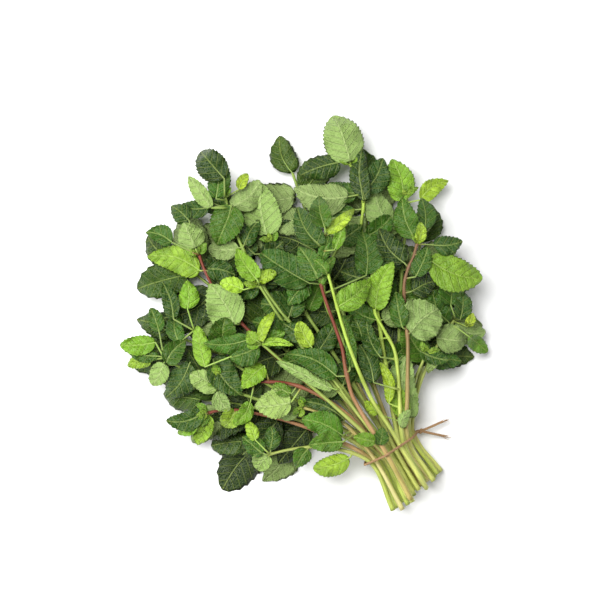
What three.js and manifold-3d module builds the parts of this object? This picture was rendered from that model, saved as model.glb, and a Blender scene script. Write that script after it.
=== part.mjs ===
// A tied bunch of fresh mint, lying on its side.
// Millimetres, +Z up. The stems run along Y: cut ends at -Y, growing tips at +Y.
// Every shoot is one solid: a square stem with its leaf stalks and leaves grown on it.
// The shoots are laid down one after the other, the lowest first. Each one comes to rest on the
// heap of those already there, so no two of them ever share space.
import * as THREE from 'three';
import Module from 'manifold-3d';

const wasm = await Module();
wasm.setup();

// ---- Driving sizes -------------------------------------------------------------------------
const bunchLength = 289; // cut ends to furthest leaf tip
const bunchWidth = 261; // across the fan of leaves
const drawnLength = 289; // the size that the layout below is written at
const drawnWidth = 261;
const stemRadius = 1.8; // corner radius of a square stem at the tie
const tipRadius = 0.9; // the same stem at its growing tip
const stalkRadius = 0.8; // the stalk that carries one leaf
const leafThickness = 1.4; // blade with its quilted surface, at the midrib
const twineRadius = 0.95;
const tailLength = 17; // each free end of the twine past the knot
const knotRadius = 2.6;
const cutLength = 35; // stems below the tie
const clearance = 0.6; // air between one shoot and the next
const leafBerth = 2; // extra room beside a stem, where its leaf stalks start

const alongScale = bunchLength / drawnLength;
const acrossScale = bunchWidth / drawnWidth;

// ---- The shoots, from the lowest to the highest ------------------------------------------------
// tie: where the stem crosses the twine. way: the points its stem passes after the tie.
// rise: how far the tip stands up on its own. Leaves: [stalk end x, y, leaf tip x, y, width, face],
// face 1 for a leaf that shows its underside.
const fanAngles = [-58, -46, -33, -19, -5, 10, 24, 38, 52]; // the hidden lowest layer
const fanLengths = [100, 138, 174, 200, 192, 206, 184, 146, 106];

const crown = [
  { name: 'sprig_right_upper', tie: 11, rise: 4, way: [[40, 60], [70, 108], [88, 132], [97, 148]], leaves: [
    [93, 146, 101, 176, 20, 0], [104, 141, 129, 143, 13, 0], [76, 135, 79, 163, 20, 1],
    [60, 94, 78, 78, 20, 0], [52, 90, 44, 116, 20, 0]] },
  { name: 'sprig_crest', tie: 6, rise: 6, way: [[28, 62], [50, 118], [58, 145], [68, 159], [74, 188]],
    leaves: [
    [60, 158, 40, 166, 10, 0], [61, 168, 31, 193, 24, 1], [68, 192, 39, 198, 17, 0],
    [70, 159, 86, 192, 14, 0], [74, 188, 81, 224, 28, 1]] },
  { name: 'sprig_right_edge', tie: 17, rise: 3, way: [[40, 30], [66, 48], [84, 56]], leaves: [
    [85, 66, 96, 84, 18, 0], [65, 52, 83, 39, 21, 1], [86, 54, 97, 70, 13, 0],
    [88, 47, 96, 54, 7, 0], [85, 41, 92, 24, 11, 0]] },
  { name: 'sprig_pale_leaf', tie: -1, rise: 3, way: [[-2, 60], [-6, 120], [-4, 150], [-2, 168]], leaves: [
    [-16, 166, -20, 185, 15, 0], [-12, 162, 6, 164, 14, 0], [-2, 173, 13, 208, 27, 1],
    [-10, 118, -30, 134, 20, 0]] },
  { name: 'sprig_left_crest', tie: -3, rise: 5, way: [[-12, 70], [-22, 140], [-20, 185], [-14, 212]],
    leaves: [
    [-12, 203, -36, 185, 24, 0], [-27, 210, -46, 222, 13, 0], [-26, 209, -29, 237, 11, 1],
    [-20, 213, -2, 241, 16, 0], [-8, 222, -13, 248, 21, 0], [-3, 211, 8, 218, 8, 0]] },
  { name: 'sprig_red_fork', tie: -8, rise: 5, way: [[-26, 60], [-46, 120], [-53, 160], [-50, 186]], leaves: [
    [-53, 129, -54, 164, 27, 1], [-50, 174, -35, 160, 15, 0], [-55, 175, -83, 203, 20, 0],
    [-44, 209, -50, 225, 14, 0], [-62, 202, -75, 218, 14, 0], [-50, 190, -48, 210, 20, 1]] },
  { name: 'sprig_left_middle', tie: -11, rise: 3, way: [[-38, 55], [-66, 105], [-80, 142]], leaves: [
    [-93, 139, -83, 160, 13, 0], [-88, 155, -82, 181, 12, 0], [-76, 156, -66, 174, 15, 0],
    [-70, 118, -56, 138, 20, 0]] },
  { name: 'sprig_left_edge', tie: -14, rise: 2, way: [[-42, 48], [-78, 92], [-100, 122], [-108, 136]],
    leaves: [
    [-93, 123, -121, 110, 21, 0], [-109, 132, -124, 122, 14, 1], [-116, 138, -133, 143, 11, 0],
    [-110, 138, -127, 151, 9, 0], [-107, 147, -130, 158, 14, 0], [-101, 152, -98, 170, 11, 0],
    [-108, 131, -88, 138, 15, 0]] },
  { name: 'sprig_left_low', tie: -17, rise: 2, way: [[-48, 46], [-82, 78], [-100, 86]], leaves: [
    [-82, 79, -96, 72, 14, 0], [-100, 85, -118, 70, 15, 0], [-109, 86, -126, 84, 10, 0],
    [-101, 88, -128, 96, 14, 0]] },
  { name: 'sprig_low_corner', tie: -19, rise: 2, way: [[-46, 28], [-78, 40]], leaves: [
    [-78, 40, -90, 34, 14, 1], [-76, 42, -66, 56, 12, 0], [-81, 42, -87, 60, 14, 0],
    [-80, 53, -79, 68, 9, 0], [-52, 30, -66, 22, 13, 0], [-30, 9, -56, 15, 15, 0]] },
  { name: 'sprig_lance', tie: -15, rise: 2, way: [[-22, 34], [-40, 56]], leaves: [
    [-44, 56, -60, 62, 10, 1], [-19, 35, -39, 61, 10, 0], [-26, 26, -45, 50, 18, 0],
    [-28, 22, -50, 32, 15, 0]] },
  { name: 'sprig_heart', tie: 1, rise: 4, way: [[6, 60], [10, 112], [24, 132], [40, 142]], leaves: [
    [39, 144, 60, 146, 15, 0], [44, 114, 57, 142, 21, 0], [7, 131, -14, 123, 17, 0],
    [7, 129, -12, 165, 24, 0]] },
  { name: 'sprig_bright_tuft', tie: -4, rise: 5, way: [[-14, 60], [-22, 110], [-24, 146]], leaves: [
    [-20, 104, -42, 118, 20, 0], [-35, 148, -47, 161, 11, 0], [-24, 148, -9, 147, 9, 0],
    [-23, 149, -25, 176, 14, 0]] },
  { name: 'sprig_red_branch', tie: -9, rise: 3, way: [[-16, 38], [-32, 67], [-46, 80], [-66, 92], [-80, 104]],
    leaves: [
    [-45, 64, -69, 74, 21, 1], [-42, 69, -50, 81, 9, 0], [-87, 96, -86, 80, 12, 1],
    [-70, 78, -88, 70, 11, 0], [-85, 97, -97, 116, 16, 1], [-78, 118, -73, 84, 21, 0],
    [-49, 95, -71, 89, 15, 0]] },
  { name: 'sprig_left_tuft', tie: -7, rise: 5, way: [[-20, 45], [-34, 84], [-43, 110]], leaves: [
    [-85, 115, -76, 143, 13, 0], [-45, 108, -67, 112, 18, 0], [-48, 116, -78, 130, 14, 0],
    [-43, 110, -24, 108, 12, 0], [-43, 110, -24, 97, 6, 0], [-44, 112, -47, 122, 10, 0],
    [-43, 111, -24, 124, 8, 0]] },
  { name: 'sprig_right_tie', tie: 15, rise: 2, way: [[22, 14], [38, 34], [54, 46]], leaves: [
    [59, 40, 47, 33, 8, 1], [50, 50, 64, 34, 11, 0], [22, 11, 41, 53, 22, 1],
    [18, 13, 24, 41, 13, 0], [3, 26, -1, 39, 9, 0]] },
  { name: 'sprig_brown_stem', tie: 12, rise: 5, way: [[26, 26], [46, 60], [64, 96], [79, 109], [86, 116]],
    leaves: [
    [50, 64, 76, 69, 31, 1], [47, 70, 56, 94, 13, 0], [66, 88, 85, 86, 18, 0],
    [71, 108, 68, 138, 18, 0], [87, 102, 113, 71, 25, 0], [95, 109, 114, 101, 14, 0],
    [95, 121, 105, 142, 14, 0], [86, 119, 93, 149, 18, 0], [73, 96, 91, 110, 13, 0],
    [85, 115, 95, 127, 8, 0]] },
  { name: 'sprig_inner_right', tie: 8, rise: 4, way: [[24, 34], [35, 60], [36, 88], [46, 104]], leaves: [
    [13, 29, 22, 57, 8, 0], [11, 47, 16, 75, 15, 0], [19, 76, 22, 92, 14, 0],
    [24, 60, 28, 86, 11, 0], [37, 90, 65, 113, 18, 0]] },
  { name: 'sprig_inner_left', tie: -5, rise: 2, way: [[-10, 40], [-14, 88]], leaves: [
    [-16, 57, -40, 94, 9, 1], [-18, 97, -23, 114, 12, 0], [-14, 90, -13, 110, 12, 0]] },
  { name: 'sprig_red_middle', tie: -6, rise: 8, way: [[-6, 49], [4, 79], [13, 123], [24, 142], [33, 152]],
    leaves: [
    [-9, 64, -30, 94, 17, 0], [3, 63, 15, 99, 8, 0], [13, 124, 31, 136, 9, 0],
    [13, 128, 13, 155, 18, 0], [22, 138, 35, 151, 9, 0], [33, 140, 47, 154, 8, 0],
    [26, 146, 26, 179, 17, 0], [34, 153, 60, 158, 9, 0], [35, 156, 43, 178, 15, 0]] },
  { name: 'sprig_light_stem', tie: 5, rise: 6,
    way: [[5, 16], [4, 36], [6, 60], [10, 84], [15, 105], [21, 128]],
    leaves: [
    [15, 105, 45, 110, 18, 0], [21, 128, 17, 142, 8, 0]] },
];

// Stalks with no leaves left on them: [tie x, end x, end y].
const bareStalks = [[-18, -27, 42], [-10, -14, 62], [-1, 2, 74], [4, 13, 58], [9, 24, 66], [18, 36, 40]];

// Leaves that have come off and are caught near the twine.
const looseLeaves = [[-7, 8, 1, 18, 11, 0], [-8, 12, -20, 22, 10, 0], [12, 10, 24, 18, 8, 1]];

// ---- A repeatable scatter --------------------------------------------------------------------
// The same number always gives the same value between 0 and 1.
function chance(number) {
  const wave = Math.sin(number * 12.9898 + 4.1) * 43758.5453;
  return wave - Math.floor(wave);
}

// ---- The heap: how high the shoots laid so far reach, over a grid of small cells ------------------
const cell = 1;
const gridHalf = 230;
const gridCells = Math.ceil(2 * gridHalf / cell);
const gridBack = 110; // how far the grid reaches behind the tie
const heap = new Float64Array(gridCells * gridCells);
let ownHeap = new Map(); // the same for the shoot that is being laid

function cellIndex(column, row) {
  return row * gridCells + column;
}

function columnOf(x) {
  return Math.floor((x + gridHalf) / cell);
}

function rowOf(y) {
  return Math.floor((y + gridBack) / cell);
}

function heapUnder(x, y, reach, withOwn) {
  const steps = Math.ceil(reach / cell);
  let top = 0;
  for (let column = columnOf(x) - steps; column <= columnOf(x) + steps; column += 1) {
    for (let row = rowOf(y) - steps; row <= rowOf(y) + steps; row += 1) {
      const index = cellIndex(column, row);
      top = Math.max(top, heap[index]);
      if (withOwn && ownHeap.has(index)) top = Math.max(top, ownHeap.get(index));
    }
  }
  return top;
}

function raiseOwn(x, y, z) {
  const index = cellIndex(columnOf(x), rowOf(y));
  ownHeap.set(index, Math.max(z, ownHeap.get(index) ?? 0));
}

function settleOwn() {
  for (const [index, z] of ownHeap) heap[index] = Math.max(heap[index], z);
  ownHeap = new Map();
}

// A stiff strip laid over what is under it: it may sag a little between two points that hold it.
function settle(heights, sag, firstFree) {
  const passes = 30;
  for (let pass = 0; pass < passes; pass += 1) {
    for (let i = firstFree; i < heights.length - 1; i += 1) {
      heights[i] = Math.max(heights[i], (heights[i - 1] + heights[i + 1]) / 2 - sag);
    }
  }
}

// Raises both ends of each stretch over everything that the stretch was found to pass.
// Each demand is [stretch, height needed].
function lift(heights, demands, firstFree) {
  for (const [i, need] of demands) {
    if (i >= firstFree) heights[i] = Math.max(heights[i], need);
    heights[i + 1] = Math.max(heights[i + 1], need);
  }
}

// ---- Closed solids from rings of points --------------------------------------------------------
function loft(rings, closedLoop = false) {
  const sides = rings[0].length;
  const index = [];
  const gaps = closedLoop ? rings.length : rings.length - 1;
  for (let ring = 0; ring < gaps; ring += 1) {
    const next = (ring + 1) % rings.length;
    for (let side = 0; side < sides; side += 1) {
      const a = ring * sides + side;
      const b = ring * sides + (side + 1) % sides;
      const c = next * sides + side;
      const d = next * sides + (side + 1) % sides;
      index.push(a, b, d, a, d, c);
    }
  }
  if (!closedLoop) {
    const last = (rings.length - 1) * sides;
    for (let side = 1; side < sides - 1; side += 1) {
      index.push(0, side + 1, side);
      index.push(last, last + side, last + side + 1);
    }
  }
  const points = rings.flat();
  let volume = 0;
  for (let i = 0; i < index.length; i += 3) {
    const [a, b, c] = [points[index[i]], points[index[i + 1]], points[index[i + 2]]];
    volume += a.dot(b.clone().cross(c));
  }
  if (volume < 0) index.reverse();
  const geometry = new THREE.BufferGeometry();
  const places = points.flatMap((point) => point.toArray());
  geometry.setAttribute('position', new THREE.Float32BufferAttribute(places, 3));
  geometry.setIndex(index);
  return geometry;
}

// The geometry as a solid that can be joined to another.
function solidOf(geometry) {
  return new wasm.Manifold(new wasm.Mesh({
    numProp: 3,
    vertProperties: new Float32Array(geometry.attributes.position.array),
    triVerts: new Uint32Array(geometry.index.array),
  }));
}

function geometryOf(solid) {
  const mesh = solid.getMesh();
  const geometry = new THREE.BufferGeometry();
  geometry.setAttribute('position', new THREE.BufferAttribute(new Float32Array(mesh.vertProperties), 3));
  geometry.setIndex(Array.from(mesh.triVerts));
  return geometry;
}

// ---- Stems ---------------------------------------------------------------------------------
const stationSpacing = 18;
const tieSpacing = 12; // closer stations where the stems press together
const stemSag = 2.5;

// The plan of a stem: its cut end, the tie and the points of its way, on one smooth curve.
function stemPlan(tie, way, id) {
  const cutX = tie * 1.12 + 3 * (chance(id + 0.3) - 0.5);
  const cutY = -cutLength + 0.2 * tie + 5 * (chance(id + 0.6) - 0.5);
  const marks = [[cutX, cutY], [tie, 0]];
  for (const [x, y] of way) marks.push([x * acrossScale, y * alongScale]);
  const points = marks.map(([x, y]) => new THREE.Vector3(x, y, 0));
  const curve = new THREE.CatmullRomCurve3(points, false, 'catmullrom', 0.5);
  const stations = [];
  for (let i = 0; i < marks.length - 1; i += 1) {
    const span = Math.hypot(marks[i + 1][0] - marks[i][0], marks[i + 1][1] - marks[i][1]);
    const steps = Math.ceil(span / (i < 2 ? tieSpacing : stationSpacing));
    for (let step = 0; step < steps; step += 1) {
      stations.push(curve.getPoint((i + step / steps) / (marks.length - 1)));
    }
  }
  stations.push(curve.getPoint(1));
  return stations;
}

function radiusAt(share) {
  return stemRadius + (tipRadius - stemRadius) * share;
}

// Lays a stem on the heap and returns its stations as {x, y, z, radius}.
function layStem(tie, way, rise, id) {
  const plan = stemPlan(tie, way, id);
  const count = plan.length;
  const demands = [];
  for (let i = 0; i < count - 1; i += 1) {
    const span = plan[i + 1].clone().sub(plan[i]);
    const length = span.length();
    const side = new THREE.Vector3(-span.y, span.x, 0).divideScalar(length);
    const samples = Math.ceil(length / cell);
    const radius = radiusAt(i / (count - 1));
    for (let k = 0; k <= samples; k += 1) {
      const point = plan[i].clone().lerp(plan[i + 1], k / samples);
      const freeOfTie = Math.min(1, Math.max(0, (point.y - 25) / 30));
      const reach = radius + leafBerth * freeOfTie;
      const across = Math.ceil(reach / (0.7 * cell));
      for (let step = -across; step <= across; step += 1) {
        const lateral = reach * step / across;
        const belly = Math.max(0, radius - Math.abs(lateral));
        const under = heapUnder(point.x + side.x * lateral, point.y + side.y * lateral, cell, false);
        const need = under + clearance + belly;
        demands.push([i, need]);
      }
    }
  }
  const tieIndex = plan.findIndex((point) => point.y >= -0.01);
  const heights = plan.map((point, i) => radiusAt(i / (count - 1)));
  lift(heights, demands, 0);
  const tieHeight = heights[tieIndex];
  for (let i = tieIndex; i < count; i += 1) {
    heights[i] = Math.max(heights[i], tieHeight + rise * ((i - tieIndex) / (count - 1 - tieIndex)) ** 2);
  }
  settle(heights, stemSag, 1);
  return plan.map((point, i) => (
    { x: point.x, y: point.y, z: heights[i], radius: radiusAt(i / (count - 1)) }));
}

function stemSolid(stations) {
  const rings = stations.map((station, i) => {
    const before = stations[Math.max(0, i - 1)];
    const after = stations[Math.min(stations.length - 1, i + 1)];
    const length = Math.hypot(after.x - before.x, after.y - before.y);
    const sideX = -(after.y - before.y) / length * station.radius;
    const sideY = (after.x - before.x) / length * station.radius;
    return [
      new THREE.Vector3(station.x + sideX, station.y + sideY, station.z),
      new THREE.Vector3(station.x, station.y, station.z + station.radius),
      new THREE.Vector3(station.x - sideX, station.y - sideY, station.z),
      new THREE.Vector3(station.x, station.y, station.z - station.radius),
    ];
  });
  return solidOf(loft(rings));
}

function raiseStem(stations) {
  for (let i = 0; i < stations.length - 1; i += 1) {
    const from = stations[i];
    const to = stations[i + 1];
    const length = Math.hypot(to.x - from.x, to.y - from.y);
    const samples = Math.ceil(length / (cell / 2));
    const sideX = -(to.y - from.y) / length;
    const sideY = (to.x - from.x) / length;
    for (let k = 0; k <= samples; k += 1) {
      const share = k / samples;
      for (let lateral = -1; lateral <= 1; lateral += 0.25) {
        const x = from.x + (to.x - from.x) * share + sideX * lateral * from.radius;
        const y = from.y + (to.y - from.y) * share + sideY * lateral * from.radius;
        raiseOwn(x, y, from.z + (to.z - from.z) * share + from.radius * (1 - Math.abs(lateral)));
      }
    }
  }
}

// ---- Leaves --------------------------------------------------------------------------------
// Share of the blade's length and of its half width, at each of its rings.
const bladeOutline = [[0, 0.1], [0.3, 0.97], [0.68, 0.8], [1, 0.05]];
const elbow = 3; // first stretch of a leaf stalk
const leafSag = 1.5;
const ownBerth = 5; // a leaf may touch its own stem this close to where it starts

// The point of the stem that a leaf grows from: near its base, and rather behind the leaf than
// ahead of it.
function leafStart(stations, row) {
  const [baseX, baseY, tipX, tipY] = row;
  const bladeLength = Math.hypot(tipX - baseX, tipY - baseY);
  let best = null;
  const tries = 6;
  for (let i = 0; i < stations.length - 1; i += 1) {
    for (let k = 0; k <= tries; k += 1) {
      const from = stations[i];
      const to = stations[i + 1];
      const share = 0.9 * k / tries; // never the very end of the stem
      const x = from.x + (to.x - from.x) * share;
      const y = from.y + (to.y - from.y) * share;
      const distance = Math.hypot(baseX - x, baseY - y);
      const ahead = ((baseX - x) * (tipX - baseX) + (baseY - y) * (tipY - baseY)) / bladeLength;
      const cost = 1.5 * distance - 0.5 * ahead;
      if (best === null || cost < best.cost) {
        best = { x, y, z: from.z + (to.z - from.z) * share, cost };
      }
    }
  }
  return best;
}

// Works out how one leaf lies: where its stalk starts, and the place, height and half width of
// each ring of its blade.
function layLeaf(start, row, id) {
  const [baseX, baseY, tipX, tipY, width, face] = row;
  const bladeLength = Math.hypot(tipX - baseX, tipY - baseY);
  const forwardX = (tipX - baseX) / bladeLength;
  const forwardY = (tipY - baseY) / bladeLength;
  const side = { x: -forwardY, y: forwardX };
  const stalk = Math.hypot(baseX - start.x, baseY - start.y);
  const path = [];
  if (!start.loose) {
    // The stalk may rise steeply over its first few millimetres: the elbow is where it levels out.
    const outX = stalk < elbow ? forwardX : (baseX - start.x) / stalk;
    const outY = stalk < elbow ? forwardY : (baseY - start.y) / stalk;
    path.push({ x: start.x, y: start.y, half: stalkRadius, run: 0 });
    path.push({ x: start.x + outX * elbow, y: start.y + outY * elbow, half: stalkRadius, run: elbow });
  }
  for (const [share, half] of bladeOutline) {
    if (share === 0 && !start.loose && stalk < 2 * elbow) continue;
    path.push({
      x: baseX + (tipX - baseX) * share,
      y: baseY + (tipY - baseY) * share,
      half: Math.max(half * width / 2, stalkRadius * (share < 1 ? 1 : 0.4)),
      run: stalk + bladeLength * share,
    });
  }
  const midX = (baseX + tipX) / 2;
  const midY = (baseY + tipY) / 2;
  const left = heapUnder(midX + side.x * width * 0.4, midY + side.y * width * 0.4, cell, true);
  const right = heapUnder(midX - side.x * width * 0.4, midY - side.y * width * 0.4, cell, true);
  const lean = Math.min(0.45, Math.max(-0.45, (left - right) / (0.8 * width)));
  const roll = 0.6 * lean + 0.2 * (chance(id + 0.1) - 0.5);
  const fold = (face === 1 ? -0.5 : 1) * (0.06 + 0.2 * chance(id + 0.2));
  const pitch = 0.05 + 0.25 * chance(id + 0.4);
  const droop = 0.15 + 0.45 * chance(id + 0.7);
  const reachOut = stalk + bladeLength;
  const heights = path.map(({ run }) => start.z + pitch * run - droop * run * run / reachOut);
  const demands = [];
  for (let i = 0; i < path.length - 1; i += 1) {
    const from = path[i];
    const to = path[i + 1];
    const fixedStart = i === 0 && !start.loose;
    const along = Math.max(1, Math.ceil((to.run - from.run) / (cell * 0.7)));
    for (let k = 0; k <= along; k += 1) {
      const share = k / along;
      const half = from.half + (to.half - from.half) * share;
      const across = Math.ceil(2 * half / (cell * 0.7));
      const run = from.run + (to.run - from.run) * share;
      for (let step = 0; step <= across; step += 1) {
        const lateral = (2 * step / across - 1) * half;
        const x = from.x + (to.x - from.x) * share + side.x * lateral;
        const y = from.y + (to.y - from.y) * share + side.y * lateral;
        const thick = leafThickness / 2 * (1 - Math.abs(lateral) / half);
        const flap = (fold * Math.abs(lateral) + roll * lateral) * (fixedStart ? share : 1) - thick;
        const need = heapUnder(x, y, cell, run > ownBerth) + clearance - flap;
        if (!fixedStart || share > 0.6) demands.push([i, need]);
      }
    }
  }
  lift(heights, demands, start.loose ? 0 : 1);
  settle(heights, leafSag, 1);
  return { path, heights, side, roll, fold, start };
}

function diamondRing(x, y, z, across, half, thick, left, right) {
  return [
    new THREE.Vector3(x + across.x * half, y + across.y * half, z + left),
    new THREE.Vector3(x, y, z + thick),
    new THREE.Vector3(x - across.x * half, y - across.y * half, z + right),
    new THREE.Vector3(x, y, z - thick),
  ];
}

function leafSolid(leaf) {
  const { path, heights, side, roll, fold, start } = leaf;
  const rings = path.map(({ x, y, half }, i) => {
    const thick = leafThickness / 2 * (i === path.length - 1 ? 0.4 : 1);
    return diamondRing(x, y, heights[i], side, half, thick, (fold + roll) * half, (fold - roll) * half);
  });
  if (start.loose) return solidOf(loft(rings));
  const forward = { x: side.y, y: -side.x };
  const outX = (path[1].x - start.x) / elbow;
  const outY = (path[1].y - start.y) / elbow;
  const stalkRing = (x, y, z, dx, dy) => {
    const length = Math.hypot(dx, dy);
    return diamondRing(x, y, z, { x: -dy / length, y: dx / length }, stalkRadius, stalkRadius, 0, 0);
  };
  const first = stalkRing(start.x, start.y, heights[0], outX, outY);
  if (outX * forward.x + outY * forward.y > 0.3) {
    const chord = heights[0] + (heights[2] - heights[0]) * elbow / path[2].run;
    if (Math.abs(heights[1] - chord) < clearance) return solidOf(loft([first, ...rings.slice(2)]));
    const second = stalkRing(path[1].x, path[1].y, heights[1], outX, outY);
    return solidOf(loft([first, second, ...rings.slice(2)]));
  }
  // The stalk comes in from the side or from behind: it turns at the elbow and ends in the blade.
  const overlap = 0.6;
  const inside = 2;
  const share = inside / (path[3].run - path[2].run);
  const endX = path[2].x + forward.x * inside;
  const endY = path[2].y + forward.y * inside;
  const endZ = heights[2] + (heights[3] - heights[2]) * share;
  const riser = [
    first,
    stalkRing(path[1].x + outX * overlap, path[1].y + outY * overlap, heights[1], outX, outY),
  ];
  const turnX = endX - path[1].x;
  const turnY = endY - path[1].y;
  const arm = [
    stalkRing(path[1].x, path[1].y, heights[1], turnX, turnY),
    stalkRing(endX, endY, endZ, turnX, turnY),
  ];
  return solidOf(loft(rings.slice(2))).add(solidOf(loft(riser))).add(solidOf(loft(arm)));
}

function raiseLeaf(leaf) {
  const { path, heights, side, roll, fold, start } = leaf;
  for (let i = 0; i < path.length - 1; i += 1) {
    const from = path[i];
    const to = path[i + 1];
    const along = Math.max(1, Math.ceil((to.run - from.run) / (cell * 0.7)));
    for (let k = 0; k <= along; k += 1) {
      const share = k / along;
      const half = from.half + (to.half - from.half) * share;
      const across = Math.ceil(2 * half / (cell * 0.7));
      for (let step = 0; step <= across; step += 1) {
        const lateral = (2 * step / across - 1) * half;
        const x = from.x + (to.x - from.x) * share + side.x * lateral;
        const y = from.y + (to.y - from.y) * share + side.y * lateral;
        const thick = leafThickness / 2 * (1 - Math.abs(lateral) / half);
        const grown = i === 0 && !start.loose ? share : 1;
        const flap = (fold * Math.abs(lateral) + roll * lateral) * grown + thick;
        raiseOwn(x, y, heights[i] + (heights[i + 1] - heights[i]) * share + flap);
      }
    }
  }
}

// ---- Leaves in pairs along a stem ----------------------------------------------------------------
const pairSpacing = 22; // on the lowest shoots
const pairLeafLength = 36;
const sideSpacing = 30; // on the lower shoots of the crown, under the leaves listed for them
const sideLeafLength = 24;
const sideShoots = 5; // how many shoots of the crown carry such pairs
const pairLeafShape = 0.66; // width over length
const firstPair = 50; // no leaves nearer to the tie than this

function pairedLeaves(stations, id, spacing, leafLength, atTip) {
  const rows = [];
  let run = 0;
  let next = firstPair + 8 * chance(id + 0.9);
  let pair = 0;
  const last = stations[stations.length - 1];
  for (let i = 1; i < stations.length; i += 1) {
    const from = stations[i - 1];
    const to = stations[i];
    const length = Math.hypot(to.x - from.x, to.y - from.y);
    if (to.y > 0 && from.y > -1) {
      while (next <= run + length) {
        const share = (next - run) / length;
        const heading = Math.atan2(to.y - from.y, to.x - from.x);
        for (const hand of [-1, 1]) {
          const key = id + pair * 0.37 + hand * 0.13;
          const angle = heading + hand * (0.75 + 0.5 * chance(key));
          const size = leafLength * (0.8 + 0.4 * chance(key + 5));
          const x = from.x + (to.x - from.x) * share + 3 * Math.cos(angle);
          const y = from.y + (to.y - from.y) * share + 3 * Math.sin(angle);
          const tipX = x + size * Math.cos(angle);
          const tipY = y + size * Math.sin(angle);
          rows.push([x, y, tipX, tipY, size * pairLeafShape, chance(key + 9) > 0.7 ? 1 : 0]);
        }
        pair += 1;
        next += spacing;
      }
      run += length;
    }
  }
  if (!atTip) return rows;
  const before = stations[stations.length - 2];
  const heading = Math.atan2(last.y - before.y, last.x - before.x);
  const endLeaf = 0.8 * leafLength;
  rows.push([last.x, last.y, last.x + endLeaf * Math.cos(heading), last.y + endLeaf * Math.sin(heading),
    endLeaf * pairLeafShape, 0]);
  return rows;
}

// ---- Materials -------------------------------------------------------------------------------
const leafMaterial = new THREE.MeshStandardMaterial({ color: 0x4f7a2c, roughness: 0.6, metalness: 0 });
const youngMaterial = new THREE.MeshStandardMaterial({ color: 0x8fb43a, roughness: 0.6, metalness: 0 });
const stalkMaterial = new THREE.MeshStandardMaterial({ color: 0xa8a560, roughness: 0.5, metalness: 0 });
const twineMaterial = new THREE.MeshStandardMaterial({ color: 0x9a7350, roughness: 0.9, metalness: 0 });

const bunch = new THREE.Group();

// Where leaves of one shoot cross, they can shut in a speck of air. It is filled.
function withoutSpecks(solid) {
  const shells = solid.decompose().filter((shell) => shell.volume() > 0);
  return shells.reduce((sum, shell) => sum.add(shell));
}

function addNode(name, solid, material) {
  const mesh = new THREE.Mesh(geometryOf(withoutSpecks(solid)), material);
  mesh.name = name;
  bunch.add(mesh);
}

// ---- Laying the bunch ------------------------------------------------------------------------
// Room for the twine under the stems.
const twineRun = 30;
for (let x = -twineRun; x <= twineRun; x += cell / 2) {
  for (let y = -2 * twineRadius; y <= 2 * twineRadius; y += cell / 2) {
    raiseOwn(x, y, 2 * twineRadius + clearance);
  }
}
settleOwn();

const tiedStems = []; // where every stem passes through the ring of twine

// The point of a stem at a given distance along the bunch.
function crossing(stations, y) {
  const i = stations.findIndex((station) => station.y > y);
  const from = stations[i - 1];
  const to = stations[i];
  const share = (y - from.y) / (to.y - from.y);
  return { x: from.x + (to.x - from.x) * share, z: from.z + (to.z - from.z) * share };
}

function addShoot(name, tie, way, rise, id, material, leafRows) {
  const stations = layStem(tie, way, rise, id);
  raiseStem(stations);
  let solid = stemSolid(stations);
  const rows = leafRows(stations);
  rows.forEach((row, k) => {
    const leaf = layLeaf(leafStart(stations, row), row, id + k * 0.61);
    solid = solid.add(leafSolid(leaf));
    raiseLeaf(leaf);
  });
  settleOwn();
  for (const y of [-twineRadius, 0, twineRadius]) tiedStems.push(crossing(stations, y));
  addNode(name, solid, material);
}

const toSize = ([x, y, tipX, tipY, width, face]) => [
  x * acrossScale, y * alongScale, tipX * acrossScale, tipY * alongScale, width, face];

// Every other shoot first, so that the next ones lie in the gaps.
const fanOrder = [0, 2, 4, 6, 8, 1, 3, 5, 7];
fanOrder.forEach((k) => {
  const turn = fanAngles[k] * Math.PI / 180;
  const length = fanLengths[k];
  const tie = (k - (fanAngles.length - 1) / 2) * 4.2;
  const way = [0.4, 0.75, 1].map((share) => {
    const bend = turn * (0.75 + 0.25 * share);
    return [tie * (1 - share) + length * share * Math.sin(bend), length * share * Math.cos(bend)];
  });
  const id = 10 + k;
  const pairs = (stations) => pairedLeaves(stations, id, pairSpacing, pairLeafLength, true);
  addShoot(`under_sprig_${k + 1}`, tie, way, 0, id, leafMaterial, pairs);
});

bareStalks.forEach(([tie, endX, endY], k) => {
  addShoot(`bare_stalk_${k + 1}`, tie, [[endX, endY]], 0, 30 + k, stalkMaterial, () => []);
});

const youngShoots = ['sprig_bright_tuft', 'sprig_left_tuft', 'sprig_light_stem'];
crown.forEach((shoot, k) => {
  const material = youngShoots.includes(shoot.name) ? youngMaterial : leafMaterial;
  const id = 50 + k;
  const rows = (stations) => {
    const pairs = k < sideShoots ? pairedLeaves(stations, id, sideSpacing, sideLeafLength, false) : [];
    return [...pairs, ...shoot.leaves.map(toSize)];
  };
  addShoot(shoot.name, shoot.tie, shoot.way, shoot.rise, id, material, rows);
});

looseLeaves.map(toSize).forEach((row, k) => {
  const leaf = layLeaf({ x: row[0], y: row[1], z: 0, loose: true }, row, 80 + k);
  addNode(`loose_leaf_${k + 1}`, leafSolid(leaf), leafMaterial);
  raiseLeaf(leaf);
  settleOwn();
});

// ---- The twine: one turn pulled tight round the stems, a knot at the side and two free ends ----
const turns = 16;
const twineSides = 6;
const stemsOut = stemRadius + clearance + twineRadius;
const loopFlat = 0.15; // how far a stretch of the loop may cut a corner

// The point of the loop on its side that faces out: clear of the stem that reaches furthest there.
function loopPoint(out) {
  const reach = (stem) => stem.x * out.x + stem.z * out.z;
  const held = tiedStems.reduce((best, stem) => (reach(stem) > reach(best) ? stem : best));
  return new THREE.Vector3(held.x, 0, held.z).addScaledVector(out, stemsOut);
}

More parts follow.
